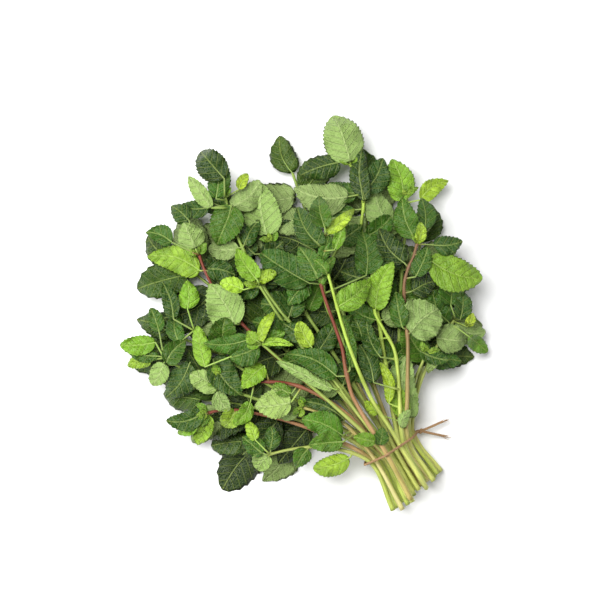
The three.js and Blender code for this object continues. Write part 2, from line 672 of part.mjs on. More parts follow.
// The points of one stretch of the loop, bent outwards where a stem stands in its way.
function loopStretch(from, to) {
  const along = to.clone().sub(from).normalize();
  const out = new THREE.Vector3(along.z, 0, -along.x);
  const middle = loopPoint(out);
  if (middle.clone().sub(from).dot(out) < loopFlat) return [from];
  return [...loopStretch(from, middle), ...loopStretch(middle, to)];
}

const corners = Array.from({ length: turns }, (_, k) => {
  const angle = 2 * Math.PI * k / turns;
  return loopPoint(new THREE.Vector3(Math.cos(angle), 0, Math.sin(angle)));
});
const loopPath = corners.flatMap((corner, k) => loopStretch(corner, corners[(k + 1) % turns]));
const loopRings = loopPath.map((point, k) => {
  const before = loopPath[(k + loopPath.length - 1) % loopPath.length];
  const after = loopPath[(k + 1) % loopPath.length];
  const forward = after.clone().sub(before).normalize();
  const inward = new THREE.Vector3(0, 1, 0);
  const outward = inward.clone().cross(forward);
  return Array.from({ length: twineSides }, (_, side) => {
    const angle = 2 * Math.PI * side / twineSides;
    return point.clone()
      .addScaledVector(inward, twineRadius * Math.cos(angle))
      .addScaledVector(outward, twineRadius * Math.sin(angle));
  });
});
let twine = solidOf(loft(loopRings, true));

const knotAt = loopPath[0].clone().add(new THREE.Vector3(knotRadius * 0.6, -1, 0));
const knot = new THREE.SphereGeometry(knotRadius, 8, 6);
knot.scale(0.9, 1, 0.85);
knot.translate(knotAt.x, knotAt.y, knotAt.z);
knot.deleteAttribute('normal');
knot.deleteAttribute('uv');

// Welds corners that lie at the same place, so that the shape is one closed skin.
function welded(geometry) {
  const position = geometry.attributes.position;
  const places = new Map();
  const points = [];
  const renamed = [];
  for (let i = 0; i < position.count; i += 1) {
    const point = new THREE.Vector3().fromBufferAttribute(position, i);
    const key = point.toArray().map((v) => v.toFixed(4)).join(' ');
    if (!places.has(key)) {
      places.set(key, points.length);
      points.push(point);
    }
    renamed.push(places.get(key));
  }
  const index = [];
  for (let i = 0; i < geometry.index.count; i += 3) {
    const corners = [0, 1, 2].map((c) => renamed[geometry.index.getX(i + c)]);
    if (new Set(corners).size === 3) index.push(...corners);
  }
  const merged = new THREE.BufferGeometry();
  merged.setAttribute('position', new THREE.Float32BufferAttribute(points.flatMap((p) => p.toArray()), 3));
  merged.setIndex(index);
  return merged;
}
twine = twine.add(solidOf(welded(knot)));

for (const [turn, drop] of [[-0.12, -1.5], [-0.75, -4]]) {
  const end = new THREE.Vector3(Math.cos(turn) * tailLength, Math.sin(turn) * tailLength, drop).add(knotAt);
  const middle = knotAt.clone().lerp(end, 0.5).add(new THREE.Vector3(0, 0, 1.5));
  const curve = new THREE.CatmullRomCurve3([knotAt, middle, end]);
  const section = new THREE.Shape(Array.from({ length: twineSides }, (_, side) => {
    const angle = 2 * Math.PI * side / twineSides;
    return new THREE.Vector2(twineRadius * Math.cos(angle), twineRadius * Math.sin(angle));
  }));
  const tail = new THREE.ExtrudeGeometry(section, { steps: 6, extrudePath: curve, bevelEnabled: false });
  tail.deleteAttribute('normal');
  tail.deleteAttribute('uv');
  const plain = new THREE.BufferGeometry();
  plain.setAttribute('position', tail.attributes.position);
  plain.setIndex(Array.from({ length: tail.attributes.position.count }, (_, i) => i));
  twine = twine.add(solidOf(welded(plain)));
}
addNode('twine', twine, twineMaterial);

// ---- The origin: under the middle of the bunch, on the surface it lies on -----------------------
const box = new THREE.Box3().setFromObject(bunch);
const middle = box.getCenter(new THREE.Vector3());
bunch.position.set(-middle.x, -middle.y, -box.min.z);
bunch.updateMatrixWorld(true);

export default bunch;
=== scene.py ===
# %% [markdown]
# # A tied bunch of fresh mint, lying on a table
# About thirty cut shoots of mint are held by one turn of jute twine. Below the tie are bare cut
# stems, and above it the shoots fan out under a thick cover of crinkled leaves.
# The solid model already fixes where every shoot, leaf and stalk lies, so this lesson lays them
# again by the same rule, and then dresses each one with its real shape, veins and colours.

# %% Load the fixed frame
import math
import bpy
import numpy as np
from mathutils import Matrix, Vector


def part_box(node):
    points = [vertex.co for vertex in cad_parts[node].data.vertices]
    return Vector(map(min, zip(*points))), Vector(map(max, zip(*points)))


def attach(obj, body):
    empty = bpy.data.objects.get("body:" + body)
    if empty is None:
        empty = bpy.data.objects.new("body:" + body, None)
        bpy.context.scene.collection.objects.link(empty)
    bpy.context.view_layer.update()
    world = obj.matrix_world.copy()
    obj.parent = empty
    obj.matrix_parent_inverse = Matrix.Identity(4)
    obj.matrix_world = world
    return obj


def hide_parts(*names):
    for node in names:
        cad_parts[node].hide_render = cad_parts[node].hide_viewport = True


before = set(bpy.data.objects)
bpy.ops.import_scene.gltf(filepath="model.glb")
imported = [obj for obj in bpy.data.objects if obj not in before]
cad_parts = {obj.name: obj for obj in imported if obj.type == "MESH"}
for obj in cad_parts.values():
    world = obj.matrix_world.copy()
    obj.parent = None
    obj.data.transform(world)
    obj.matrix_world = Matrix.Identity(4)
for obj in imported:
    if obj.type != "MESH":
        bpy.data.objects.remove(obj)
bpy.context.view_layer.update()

# %% [markdown]
# ## Camera, light and floor
# A bunch this flat is best seen from straight above. One lens with a narrow view keeps the
# leaves near the edge from leaning outwards, as a wide lens would make them. The camera turns a
# little so that the cut stems point to the lower right.
# A large soft lamp high up gives even light, and a smaller one from the upper left
# brings out the quilting of the leaves. A white floor and a pale world fill the shadows.

# %% Camera
WIDTH_SEEN = 0.429       # metres across the view, at the middle height of the bunch
CAMERA_HEIGHT = 1.63
TURN = math.radians(-30)

lens = bpy.data.cameras.new("overhead_lens")
lens.sensor_width = 36
lens.lens = 36 * (CAMERA_HEIGHT - 0.03) / WIDTH_SEEN
camera = bpy.data.objects.new("overhead_camera", lens)
camera.location = (-0.0009, 0.0122, CAMERA_HEIGHT)
camera.rotation_euler = (0, 0, TURN)
bpy.context.scene.collection.objects.link(camera)
bpy.context.scene.camera = camera
bpy.context.scene.view_settings.view_transform = "Standard"
print("lens", round(lens.lens, 1), "mm")


# %% Lamps and world
def soft_lamp(name, place, size, power):
    """A square lamp that faces the middle of the bunch."""
    lamp = bpy.data.lights.new(name, "AREA")
    lamp.shape = "SQUARE"
    lamp.size = size
    lamp.energy = power
    holder = bpy.data.objects.new(name, lamp)
    holder.location = place
    holder.rotation_euler = (-Vector(place)).to_track_quat("-Z", "Y").to_euler()
    bpy.context.scene.collection.objects.link(holder)
    return holder


soft_lamp("overhead_softbox", (-0.1, 0.6, 1.85), 0.9, 40)
soft_lamp("side_softbox", (-1.1, 0.6, 1.15), 0.6, 20)
soft_lamp("low_softbox", (0.9, -0.9, 1.0), 0.6, 4)

world = bpy.data.worlds.new("pale_room")
world.use_nodes = True
world.node_tree.nodes["Background"].inputs["Color"].default_value = (1, 1, 1, 1)
world.node_tree.nodes["Background"].inputs["Strength"].default_value = 0.22
bpy.context.scene.world = world
print("three lamps and a pale world")

# %% [markdown]
# ## Shader sums as plain Python
# A material is a graph of small nodes. Written out node by node it is long and hard to read, so
# one small class wraps a socket and lets Python's own signs build the Math nodes.
# Every other node comes from one method, which takes the node's type, its settings and what
# goes into its sockets.


# %% Sockets that can be added and multiplied
class Wire:
    """The output of a shader node, ready for sums."""

    def __init__(self, finish, socket):
        self.finish = finish
        self.socket = socket

    def pick(self, name):
        """Another output of the same node."""
        return Wire(self.finish, self.socket.node.outputs[name])

    def sum(self, operation, *values, clamp=False):
        settings = {"operation": operation, "use_clamp": clamp}
        return self.finish.node("ShaderNodeMath", settings, dict(enumerate(values)))

    def __add__(self, other):
        return self.sum("ADD", self, other)

    def __sub__(self, other):
        return self.sum("SUBTRACT", self, other)

    def __rsub__(self, other):
        return self.sum("SUBTRACT", other, self)

    def __mul__(self, other):
        return self.sum("MULTIPLY", self, other)

    def __abs__(self):
        return self.sum("ABSOLUTE", self)

    __radd__ = __add__
    __rmul__ = __mul__

    def clamped(self):
        return self.sum("ADD", self, 0, clamp=True)

    def ramp(self, start, end):
        """0 at start and 1 at end, with a smooth rise between."""
        return self.finish.node("ShaderNodeMapRange", {"interpolation_type": "SMOOTHSTEP"},
                                {"Value": self, "From Min": start, "From Max": end})


class Finish:
    """One material and the nodes that make it."""

    def __init__(self, name):
        self.material = bpy.data.materials.new(name)
        self.material.use_nodes = True
        self.tree = self.material.node_tree
        self.skin = self.tree.nodes["Principled BSDF"]

    def node(self, kind, settings=None, sockets=None):
        """Adds a node: its settings first, then a value or a link for each named socket."""
        made = self.tree.nodes.new(kind)
        for key, value in (settings or {}).items():
            setattr(made, key, value)
        for key, value in (sockets or {}).items():
            found = [s for s in made.inputs if s.identifier == key]
            self.fill(found[0] if found else made.inputs[key], value)
        shown = [s for s in made.outputs if s.enabled]
        return Wire(self, shown[0])

    def fill(self, socket, value):
        if isinstance(value, Wire):
            self.tree.links.new(value.socket, socket)
        elif isinstance(value, tuple) and socket.type == "RGBA":
            socket.default_value = (*value, 1)
        else:
            socket.default_value = value

    def mark(self, name):
        """What a mesh carries under this name at each point."""
        return self.node("ShaderNodeAttribute", {"attribute_name": name})

    def parts(self, vector):
        split = self.node("ShaderNodeSeparateXYZ", {}, {"Vector": vector})
        return split, split.pick("Y"), split.pick("Z")

    def point(self, x, y, z):
        return self.node("ShaderNodeCombineXYZ", {}, {"X": x, "Y": y, "Z": z})

    def mix(self, amount, low, high, blend="MIX"):
        settings = {"data_type": "RGBA", "blend_type": blend, "clamp_factor": True}
        sockets = {"Factor_Float": amount, "A_Color": low, "B_Color": high}
        return self.node("ShaderNodeMix", settings, sockets)

    def noise(self, vector, scale, detail=2.0, roughness=0.5):
        sockets = {"Vector": vector, "Scale": scale, "Detail": detail, "Roughness": roughness}
        return self.node("ShaderNodeTexNoise", {}, sockets)

    def cells(self, vector, scale):
        """Distance from the border of a net of cells."""
        sockets = {"Vector": vector, "Scale": scale}
        return self.node("ShaderNodeTexVoronoi", {"feature": "DISTANCE_TO_EDGE"}, sockets)

    def finish(self, colour, roughness, height, depth, strength=1.0, **constants):
        """Joins up the skin: depth is how high the relief stands, in metres."""
        bump = self.node("ShaderNodeBump", {}, {"Strength": strength, "Distance": depth, "Height": height})
        self.fill(self.skin.inputs["Base Color"], colour)
        self.fill(self.skin.inputs["Roughness"], roughness)
        self.fill(self.skin.inputs["Normal"], bump)
        for key, value in constants.items():
            self.skin.inputs[key.replace("_", " ")].default_value = value
        print(self.material.name, "has", len(self.tree.nodes), "nodes")
        return self.material


def paint(red, green, blue):
    """A screen colour, 0 to 255, as the amounts of light that a shader needs."""
    shares = [value / 255 for value in (red, green, blue)]
    return tuple(s / 12.92 if s <= 0.04045 else ((s + 0.055) / 1.055) ** 2.4 for s in shares)


# %% [markdown]
# ## The floor
# A real sheet of card is never one flat value: a very faint mottle keeps it from looking like
# an empty screen, and it stays pale enough for the soft shadow to show.

# %% The pale card
card = Finish("pale_card")
spot = card.node("ShaderNodeNewGeometry")
grain = card.noise(spot, 60, 4)
card_colour = card.mix(grain, (0.90, 0.90, 0.90), (0.93, 0.93, 0.93))
card_skin = card.finish(card_colour, 0.8 + grain * 0.05, grain, 0.0001, 0.2)

bpy.ops.mesh.primitive_plane_add(size=6, location=(0, 0, 0))
floor = bpy.context.object
floor.name = "pale_floor"
floor.data.materials.append(card_skin)

# %% [markdown]
# ## Where everything lies
# The bunch was laid one shoot after the other, each one coming to rest on the heap of those
# before it. A height map of one millimetre cells holds the heap: a new stem or leaf is lifted
# until it clears every cell it passes over, and then it raises those cells itself.
# The same map is used here, so each detailed leaf lies where its plain solid lies.

# %% Sizes, in millimetres
STEM_RADIUS = 1.8
TIP_RADIUS = 0.9
STALK_RADIUS = 0.8
LEAF_THICKNESS = 1.4
TWINE_RADIUS = 0.95
TAIL_LENGTH = 17
KNOT_RADIUS = 2.6
CUT_LENGTH = 35
CLEARANCE = 0.6
LEAF_BERTH = 2
FAN_GAP = 4.2            # mm between the lowest stems at the tie
FAN_ANGLES = [-58, -46, -33, -19, -5, 10, 24, 38, 52]
FAN_LENGTHS = [100, 138, 174, 200, 192, 206, 184, 146, 106]
PAIR_SPACING, PAIR_LENGTH = 22, 36
SIDE_SPACING, SIDE_LENGTH, SIDE_SHOOTS = 30, 24, 5
PAIR_SHAPE = 0.66
BARE_STALKS = [(-18, -27, 42), (-10, -14, 62), (-1, 2, 74), (4, 13, 58), (9, 24, 66), (18, 36, 40)]
LOOSE_LEAVES = [(-7, 8, 1, 18, 11, 0, 1.0), (-8, 12, -20, 22, 10, 0, 1.2), (12, 10, 24, 18, 8, 1, 1.8)]

# %% [markdown]
# ## The shoots that can be seen
# Each row gives a shoot's name, where its stem crosses the twine, how far its tip stands up, the
# kind of stem, the points its stem passes, and its leaves. A leaf is the end of its stalk, its
# tip, its width, which face is up (1 for the underside) and its tone: 0 for an old dark
# leaf, 1 for a common one, 2 for a light one and 3 for the yellow-green of new growth.

# %% Rows of the crown
CROWN = [
    ("sprig_right_upper", 11, 4, "GREEN", [(40, 60), (70, 108), (88, 132), (97, 148)], [
        (93, 146, 101, 176, 20, 0, 1.6), (104, 141, 129, 143, 13, 0, 2.5), (76, 135, 79, 163, 20, 1, 1.5),
        (60, 94, 78, 78, 20, 0, 0.8), (52, 90, 44, 116, 20, 0, 0.8)]),
    ("sprig_crest", 6, 6, "LIME", [(28, 62), (50, 118), (58, 145), (68, 159), (74, 188)], [
        (60, 158, 40, 166, 10, 0, 0.3), (61, 168, 31, 193, 24, 1, 0.2), (68, 192, 39, 198, 17, 0, 0),
        (70, 159, 86, 192, 14, 0, 0.2), (74, 188, 81, 224, 28, 1, 1.6)]),
    ("sprig_right_edge", 17, 3, "GREEN", [(40, 30), (66, 48), (84, 56)], [
        (85, 66, 96, 84, 18, 0, 0.8), (65, 52, 83, 39, 21, 1, 1.2), (86, 54, 97, 70, 13, 0, 0.5),
        (88, 47, 96, 54, 7, 0, 3), (85, 41, 92, 24, 11, 0, 1.5)]),
    ("sprig_pale_leaf", -1, 3, "GREEN", [(-2, 60), (-6, 120), (-4, 150), (-2, 168)], [
        (-16, 166, -20, 185, 15, 0, 0), (-12, 162, 6, 164, 14, 0, 0), (-2, 173, 13, 208, 27, 1, 2),
        (-10, 118, -30, 134, 20, 0, 0.8)]),
    ("sprig_left_crest", -3, 5, "GREEN", [(-12, 70), (-22, 140), (-20, 185), (-14, 212)], [
        (-12, 203, -36, 185, 24, 0, 0.5), (-27, 210, -46, 222, 13, 0, 0), (-26, 209, -29, 237, 11, 1, 2),
        (-20, 213, -2, 241, 16, 0, 1), (-8, 222, -13, 248, 21, 0, 0), (-3, 211, 8, 218, 8, 0, 3)]),
    ("sprig_red_fork", -8, 5, "RED", [(-26, 60), (-46, 120), (-53, 160), (-50, 186)], [
        (-53, 129, -54, 164, 27, 1, 1.5), (-50, 174, -35, 160, 15, 0, 0.5),
        (-55, 175, -83, 203, 20, 0, 2), (-44, 209, -50, 225, 14, 0, 0), (-62, 202, -75, 218, 14, 0, 1),
        (-50, 190, -48, 210, 20, 1, 2)]),
    ("sprig_left_middle", -11, 3, "GREEN", [(-38, 55), (-66, 105), (-80, 142)], [
        (-93, 139, -83, 160, 13, 0, 1), (-88, 155, -82, 181, 12, 0, 0.5), (-76, 156, -66, 174, 15, 0, 2),
        (-70, 118, -56, 138, 20, 0, 0.8)]),
    ("sprig_left_edge", -14, 2, "GREEN", [(-42, 48), (-78, 92), (-100, 122), (-108, 136)], [
        (-93, 123, -121, 110, 21, 0, 0), (-109, 132, -124, 122, 14, 1, 1.5),
        (-116, 138, -133, 143, 11, 0, 2.2), (-110, 138, -127, 151, 9, 0, 1),
        (-107, 147, -130, 158, 14, 0, 1.5), (-101, 152, -98, 170, 11, 0, 0.5),
        (-108, 131, -88, 138, 15, 0, 0.3)]),
    ("sprig_left_low", -17, 2, "RED", [(-48, 46), (-82, 78), (-100, 86)], [
        (-82, 79, -96, 72, 14, 0, 2.3), (-100, 85, -118, 70, 15, 0, 2), (-109, 86, -126, 84, 10, 0, 2),
        (-101, 88, -128, 96, 14, 0, 0.3)]),
    ("sprig_low_corner", -19, 2, "GREEN", [(-46, 28), (-78, 40)], [
        (-78, 40, -90, 34, 14, 1, 1.8), (-76, 42, -66, 56, 12, 0, 1), (-81, 42, -87, 60, 14, 0, 1),
        (-80, 53, -79, 68, 9, 0, 2.5), (-52, 30, -66, 22, 13, 0, 0.8), (-30, 9, -56, 15, 15, 0, 2)]),
    ("sprig_lance", -15, 2, "TAN", [(-22, 34), (-40, 56)], [
        (-44, 56, -60, 62, 10, 1, 0.8), (-19, 35, -39, 61, 10, 0, 0.3), (-26, 26, -45, 50, 18, 0, 1),
        (-28, 22, -50, 32, 15, 0, 0.8)]),
    ("sprig_heart", 1, 4, "GREEN", [(6, 60), (10, 112), (24, 132), (40, 142)], [
        (39, 144, 60, 146, 15, 0, 0.4), (44, 114, 57, 142, 21, 0, 1), (7, 131, -14, 123, 17, 0, 1),
        (7, 129, -12, 165, 24, 0, 0.5)]),
    ("sprig_bright_tuft", -4, 5, "GREEN", [(-14, 60), (-22, 110), (-24, 146)], [
        (-20, 104, -42, 118, 20, 0, 0.8), (-35, 148, -47, 161, 11, 0, 3), (-24, 148, -9, 147, 9, 0, 2.5),
        (-23, 149, -25, 176, 14, 0, 2.5)]),
    ("sprig_red_branch", -9, 3, "RED", [(-16, 38), (-32, 67), (-46, 80), (-66, 92), (-80, 104)], [
        (-45, 64, -69, 74, 21, 1, 2), (-42, 69, -50, 81, 9, 0, 1.5), (-87, 96, -86, 80, 12, 1, 1.5),
        (-70, 78, -88, 70, 11, 0, 2), (-85, 97, -97, 116, 16, 1, 2), (-78, 118, -73, 84, 21, 0, 0.2),
        (-49, 95, -71, 89, 15, 0, 2)]),
    ("sprig_left_tuft", -7, 5, "GREEN", [(-20, 45), (-34, 84), (-43, 110)], [
        (-85, 115, -76, 143, 13, 0, 2), (-45, 108, -67, 112, 18, 0, 1), (-48, 116, -78, 130, 14, 0, 1),
        (-43, 110, -24, 108, 12, 0, 1), (-43, 110, -24, 97, 6, 0, 3), (-44, 112, -47, 122, 10, 0, 2),
        (-43, 111, -24, 124, 8, 0, 2.5)]),
    ("sprig_right_tie", 15, 2, "GREEN", [(22, 14), (38, 34), (54, 46)], [
        (59, 40, 47, 33, 8, 1, 1.5), (50, 50, 64, 34, 11, 0, 0.5), (22, 11, 41, 53, 22, 1, 1.6),
        (18, 13, 24, 41, 13, 0, 3), (3, 26, -1, 39, 9, 0, 2.4)]),
    ("sprig_brown_stem", 12, 5, "BROWN", [(26, 26), (46, 60), (64, 96), (79, 109), (86, 116)], [
        (50, 64, 76, 69, 31, 1, 1.2), (47, 70, 56, 94, 13, 0, 1), (66, 88, 85, 86, 18, 0, 0.2),
        (71, 108, 68, 138, 18, 0, 0.2), (87, 102, 113, 71, 25, 0, 2), (95, 109, 114, 101, 14, 0, 0.3),
        (95, 121, 105, 142, 14, 0, 0.6), (86, 119, 93, 149, 18, 0, 0.8), (73, 96, 91, 110, 13, 0, 1),
        (85, 115, 95, 127, 8, 0, 3)]),
    ("sprig_inner_right", 8, 4, "LIME", [(24, 34), (35, 60), (36, 88), (46, 104)], [
        (13, 29, 22, 57, 8, 0, 2.5), (11, 47, 16, 75, 15, 0, 0.7), (19, 76, 22, 92, 14, 0, 0.5),
        (24, 60, 28, 86, 11, 0, 0.5), (37, 90, 65, 113, 18, 0, 2)]),
    ("sprig_inner_left", -5, 2, "GREEN", [(-10, 40), (-14, 88)], [
        (-16, 57, -40, 94, 9, 1, 1.7), (-18, 97, -23, 114, 12, 0, 0.5), (-14, 90, -13, 110, 12, 0, 2.4)]),
    ("sprig_red_middle", -6, 8, "RED", [(-6, 49), (4, 79), (13, 123), (24, 142), (33, 152)], [
        (-9, 64, -30, 94, 17, 0, 0.5), (3, 63, 15, 99, 8, 0, 0.5), (13, 124, 31, 136, 9, 0, 1),
        (13, 128, 13, 155, 18, 0, 0.6), (22, 138, 35, 151, 9, 0, 1), (33, 140, 47, 154, 8, 0, 1.5),
        (26, 146, 26, 179, 17, 0, 0.6), (34, 153, 60, 158, 9, 0, 2.5), (35, 156, 43, 178, 15, 0, 0.8)]),
    ("sprig_light_stem", 5, 6, "LIME", [(5, 16), (4, 36), (6, 60), (10, 84), (15, 105), (21, 128)], [
        (15, 105, 45, 110, 18, 0, 2), (21, 128, 17, 142, 8, 0, 0.8)]),
]
print(len(CROWN), "shoots with", sum(len(row[5]) for row in CROWN), "leaves")


# %% [markdown]
# ## Chance that repeats
# Small turns and sizes must look random but come out the same on every run. A steep wave gives
# a value between 0 and 1 from any number.

# %% A repeatable scatter and the heap
def chance(number):
    wave = math.sin(number * 12.9898 + 4.1) * 43758.5453
    return wave - math.floor(wave)


HEAP_SIDE = 460          # cells of 1 mm
HEAP_LEFT, HEAP_BELOW = 230, 110
HEAP_STEP = 0.7          # mm between two tries of the heap under a stem or leaf


class Heap:
    """How high the laid shoots reach, and the same for the shoot that is being laid."""

    def __init__(self):
        self.laid = np.zeros((HEAP_SIDE, HEAP_SIDE))
        self.own = np.zeros((HEAP_SIDE, HEAP_SIDE))

    def place(self, x, y):
        return np.floor(y + HEAP_BELOW).astype(int), np.floor(x + HEAP_LEFT).astype(int)

    def under(self, x, y, with_own):
        """Height of the heap around each point, and of the shoot itself where with_own says so."""
        row, column = self.place(x, y)
        top = np.zeros(np.shape(x))
        for down in (-1, 0, 1):
            for right in (-1, 0, 1):
                top = np.maximum(top, self.laid[row + down, column + right])
                own = self.own[row + down, column + right]
                top = np.where(with_own, np.maximum(top, own), top)
        return top

    def lift(self, x, y, z):
        np.maximum.at(self.own, self.place(x, y), z)

    def settle(self):
        self.laid = np.maximum(self.laid, self.own)
        self.own = np.zeros((HEAP_SIDE, HEAP_SIDE))


heap = Heap()
room_x, room_y = np.meshgrid(np.arange(-30, 30.1, 0.5), np.arange(-1.9, 1.91, 0.5))
heap.lift(room_x, room_y, np.full(room_x.shape, 2 * TWINE_RADIUS + CLEARANCE))
heap.settle()
print("heap ready, room left for the twine")


# %% [markdown]
# ## Laying a stem
# A stem is a springy rod. Its plan is one smooth curve through its marks. Its heights start from
# what lies under it, and a few passes of straightening stop it from dropping into every
# hollow, as a stiff rod would not.

# %% Stems
STEM_SAG = 2.5                     # mm that one station may lie below its neighbours
BERTH_FROM, BERTH_RISE = 25, 30    # past the tie, stems keep clear of more and more leaves


def between(marks, place):
    """A point of the smooth curve through the marks, place counted in marks."""
    marks = np.asarray(marks, dtype=float)
    first = min(int(place), len(marks) - 2)
    share = place - first
    before = marks[first - 1] if first > 0 else 2 * marks[0] - marks[1]
    after = marks[first + 2] if first + 2 < len(marks) else 2 * marks[-1] - marks[-2]
    start, end = marks[first], marks[first + 1]
    lean_in, lean_out = (end - before) / 2, (after - start) / 2
    return (start + lean_in * share + (3 * (end - start) - 2 * lean_in - lean_out) * share ** 2
            + (2 * (start - end) + lean_in + lean_out) * share ** 3)


def straighten(heights, sag, first):
    for _ in range(30):
        for i in range(first, len(heights) - 1):
            heights[i] = max(heights[i], (heights[i - 1] + heights[i + 1]) / 2 - sag)


def stem_plan(tie, way, key):
    cut = (tie * 1.12 + 3 * (chance(key + 0.3) - 0.5),
           -CUT_LENGTH + 0.2 * tie + 5 * (chance(key + 0.6) - 0.5))
    marks = [cut, (tie, 0)] + list(way)
    stations = []
    for i in range(len(marks) - 1):
        steps = math.ceil(math.dist(marks[i], marks[i + 1]) / (12 if i < 2 else 18))
        stations += [between(marks, i + step / steps) for step in range(steps)]
    return stations + [np.array(marks[-1], dtype=float)]


def lay_stem(tie, way, rise, key):
    """Stations of the stem, each x, y, z and radius."""
    plan = stem_plan(tie, way, key)
    count = len(plan)
    radii = [STEM_RADIUS + (TIP_RADIUS - STEM_RADIUS) * i / (count - 1) for i in range(count)]
    heights = list(radii)
    for i in range(count - 1):
        span = plan[i + 1] - plan[i]
        length = math.hypot(*span)
        side = np.array([-span[1], span[0]]) / length
        for share in np.linspace(0, 1, math.ceil(length) + 1):
            point = plan[i] + span * share
            reach = radii[i] + LEAF_BERTH * min(1, max(0, (point[1] - BERTH_FROM) / BERTH_RISE))
            across = math.ceil(reach / HEAP_STEP)
            lateral = reach * np.arange(-across, across + 1) / across
            under = heap.under(point[0] + side[0] * lateral, point[1] + side[1] * lateral, False)
            need = float(np.max(under + CLEARANCE + np.maximum(0, radii[i] - np.abs(lateral))))
            heights[i] = max(heights[i], need)
            heights[i + 1] = max(heights[i + 1], need)
    at_tie = next(i for i in range(count) if plan[i][1] >= -0.01)
    tie_height = heights[at_tie]
    for i in range(at_tie, count):
        lifted = tie_height + rise * ((i - at_tie) / (count - 1 - at_tie)) ** 2
        heights[i] = max(heights[i], lifted)
    straighten(heights, STEM_SAG, 1)
    stations = [np.array([*plan[i], heights[i], radii[i]]) for i in range(count)]
    for here, there in zip(stations, stations[1:]):
        length = math.hypot(*(there - here)[:2])
        share, lateral = np.meshgrid(np.linspace(0, 1, math.ceil(length * 2) + 1), np.linspace(-1, 1, 9))
        side_x, side_y = -(there - here)[1] / length, (there - here)[0] / length
        heap.lift(here[0] + (there - here)[0] * share + side_x * lateral * here[3],
                  here[1] + (there - here)[1] * share + side_y * lateral * here[3],
                  here[2] + (there - here)[2] * share + here[3] * (1 - np.abs(lateral)))
    return stations


# %% [markdown]
# ## Laying a leaf
# A leaf grows from the nearest part of its own stem. Its blade starts in a gentle droop, is
# folded along the midrib, rolls a little towards the lower side, and is lifted clear
# of whatever it covers. The rule returns a ladder of rungs along the leaf, with a height for each.

# %% Leaves
BLADE = [(0, 0.1), (0.3, 0.97), (0.68, 0.8), (1, 0.05)]     # share of the length, share of the width
ELBOW = 3                # mm from the stem to where a stalk turns
LEAF_SAG = 1.5


def leaf_start(stations, row):
    base, tip = np.array(row[0:2], dtype=float), np.array(row[2:4], dtype=float)
    forward = (tip - base) / math.dist(tip, base)
    best = None
    for here, there in zip(stations, stations[1:]):
        for k in range(7):
            point = here + (there - here) * 0.9 * k / 6
            gap = base - point[:2]
            cost = 1.5 * math.hypot(*gap) - 0.5 * float(gap @ forward)
            if best is None or cost < best[0] - 1e-9:
                best = (cost, point[:3])
    return best[1]


def rung_points(leaf, i):
    """Sample points across one stretch of a leaf: x, y, lateral place, half width and share."""
    here, there = leaf["rungs"][i], leaf["rungs"][i + 1]
    x, y, lateral, half, share = [], [], [], [], []
    along = max(1, math.ceil((there[3] - here[3]) / HEAP_STEP))
    for k in range(along + 1):
        s = k / along
        wide = here[2] + (there[2] - here[2]) * s
        across = math.ceil(2 * wide / HEAP_STEP)
        place = (2 * np.arange(across + 1) / across - 1) * wide
        x += list(here[0] + (there[0] - here[0]) * s + leaf["side"][0] * place)
        y += list(here[1] + (there[1] - here[1]) * s + leaf["side"][1] * place)
        lateral += list(place)
        half += [wide] * (across + 1)
        share += [s] * (across + 1)
    return [np.array(v) for v in (x, y, lateral, half, share)]


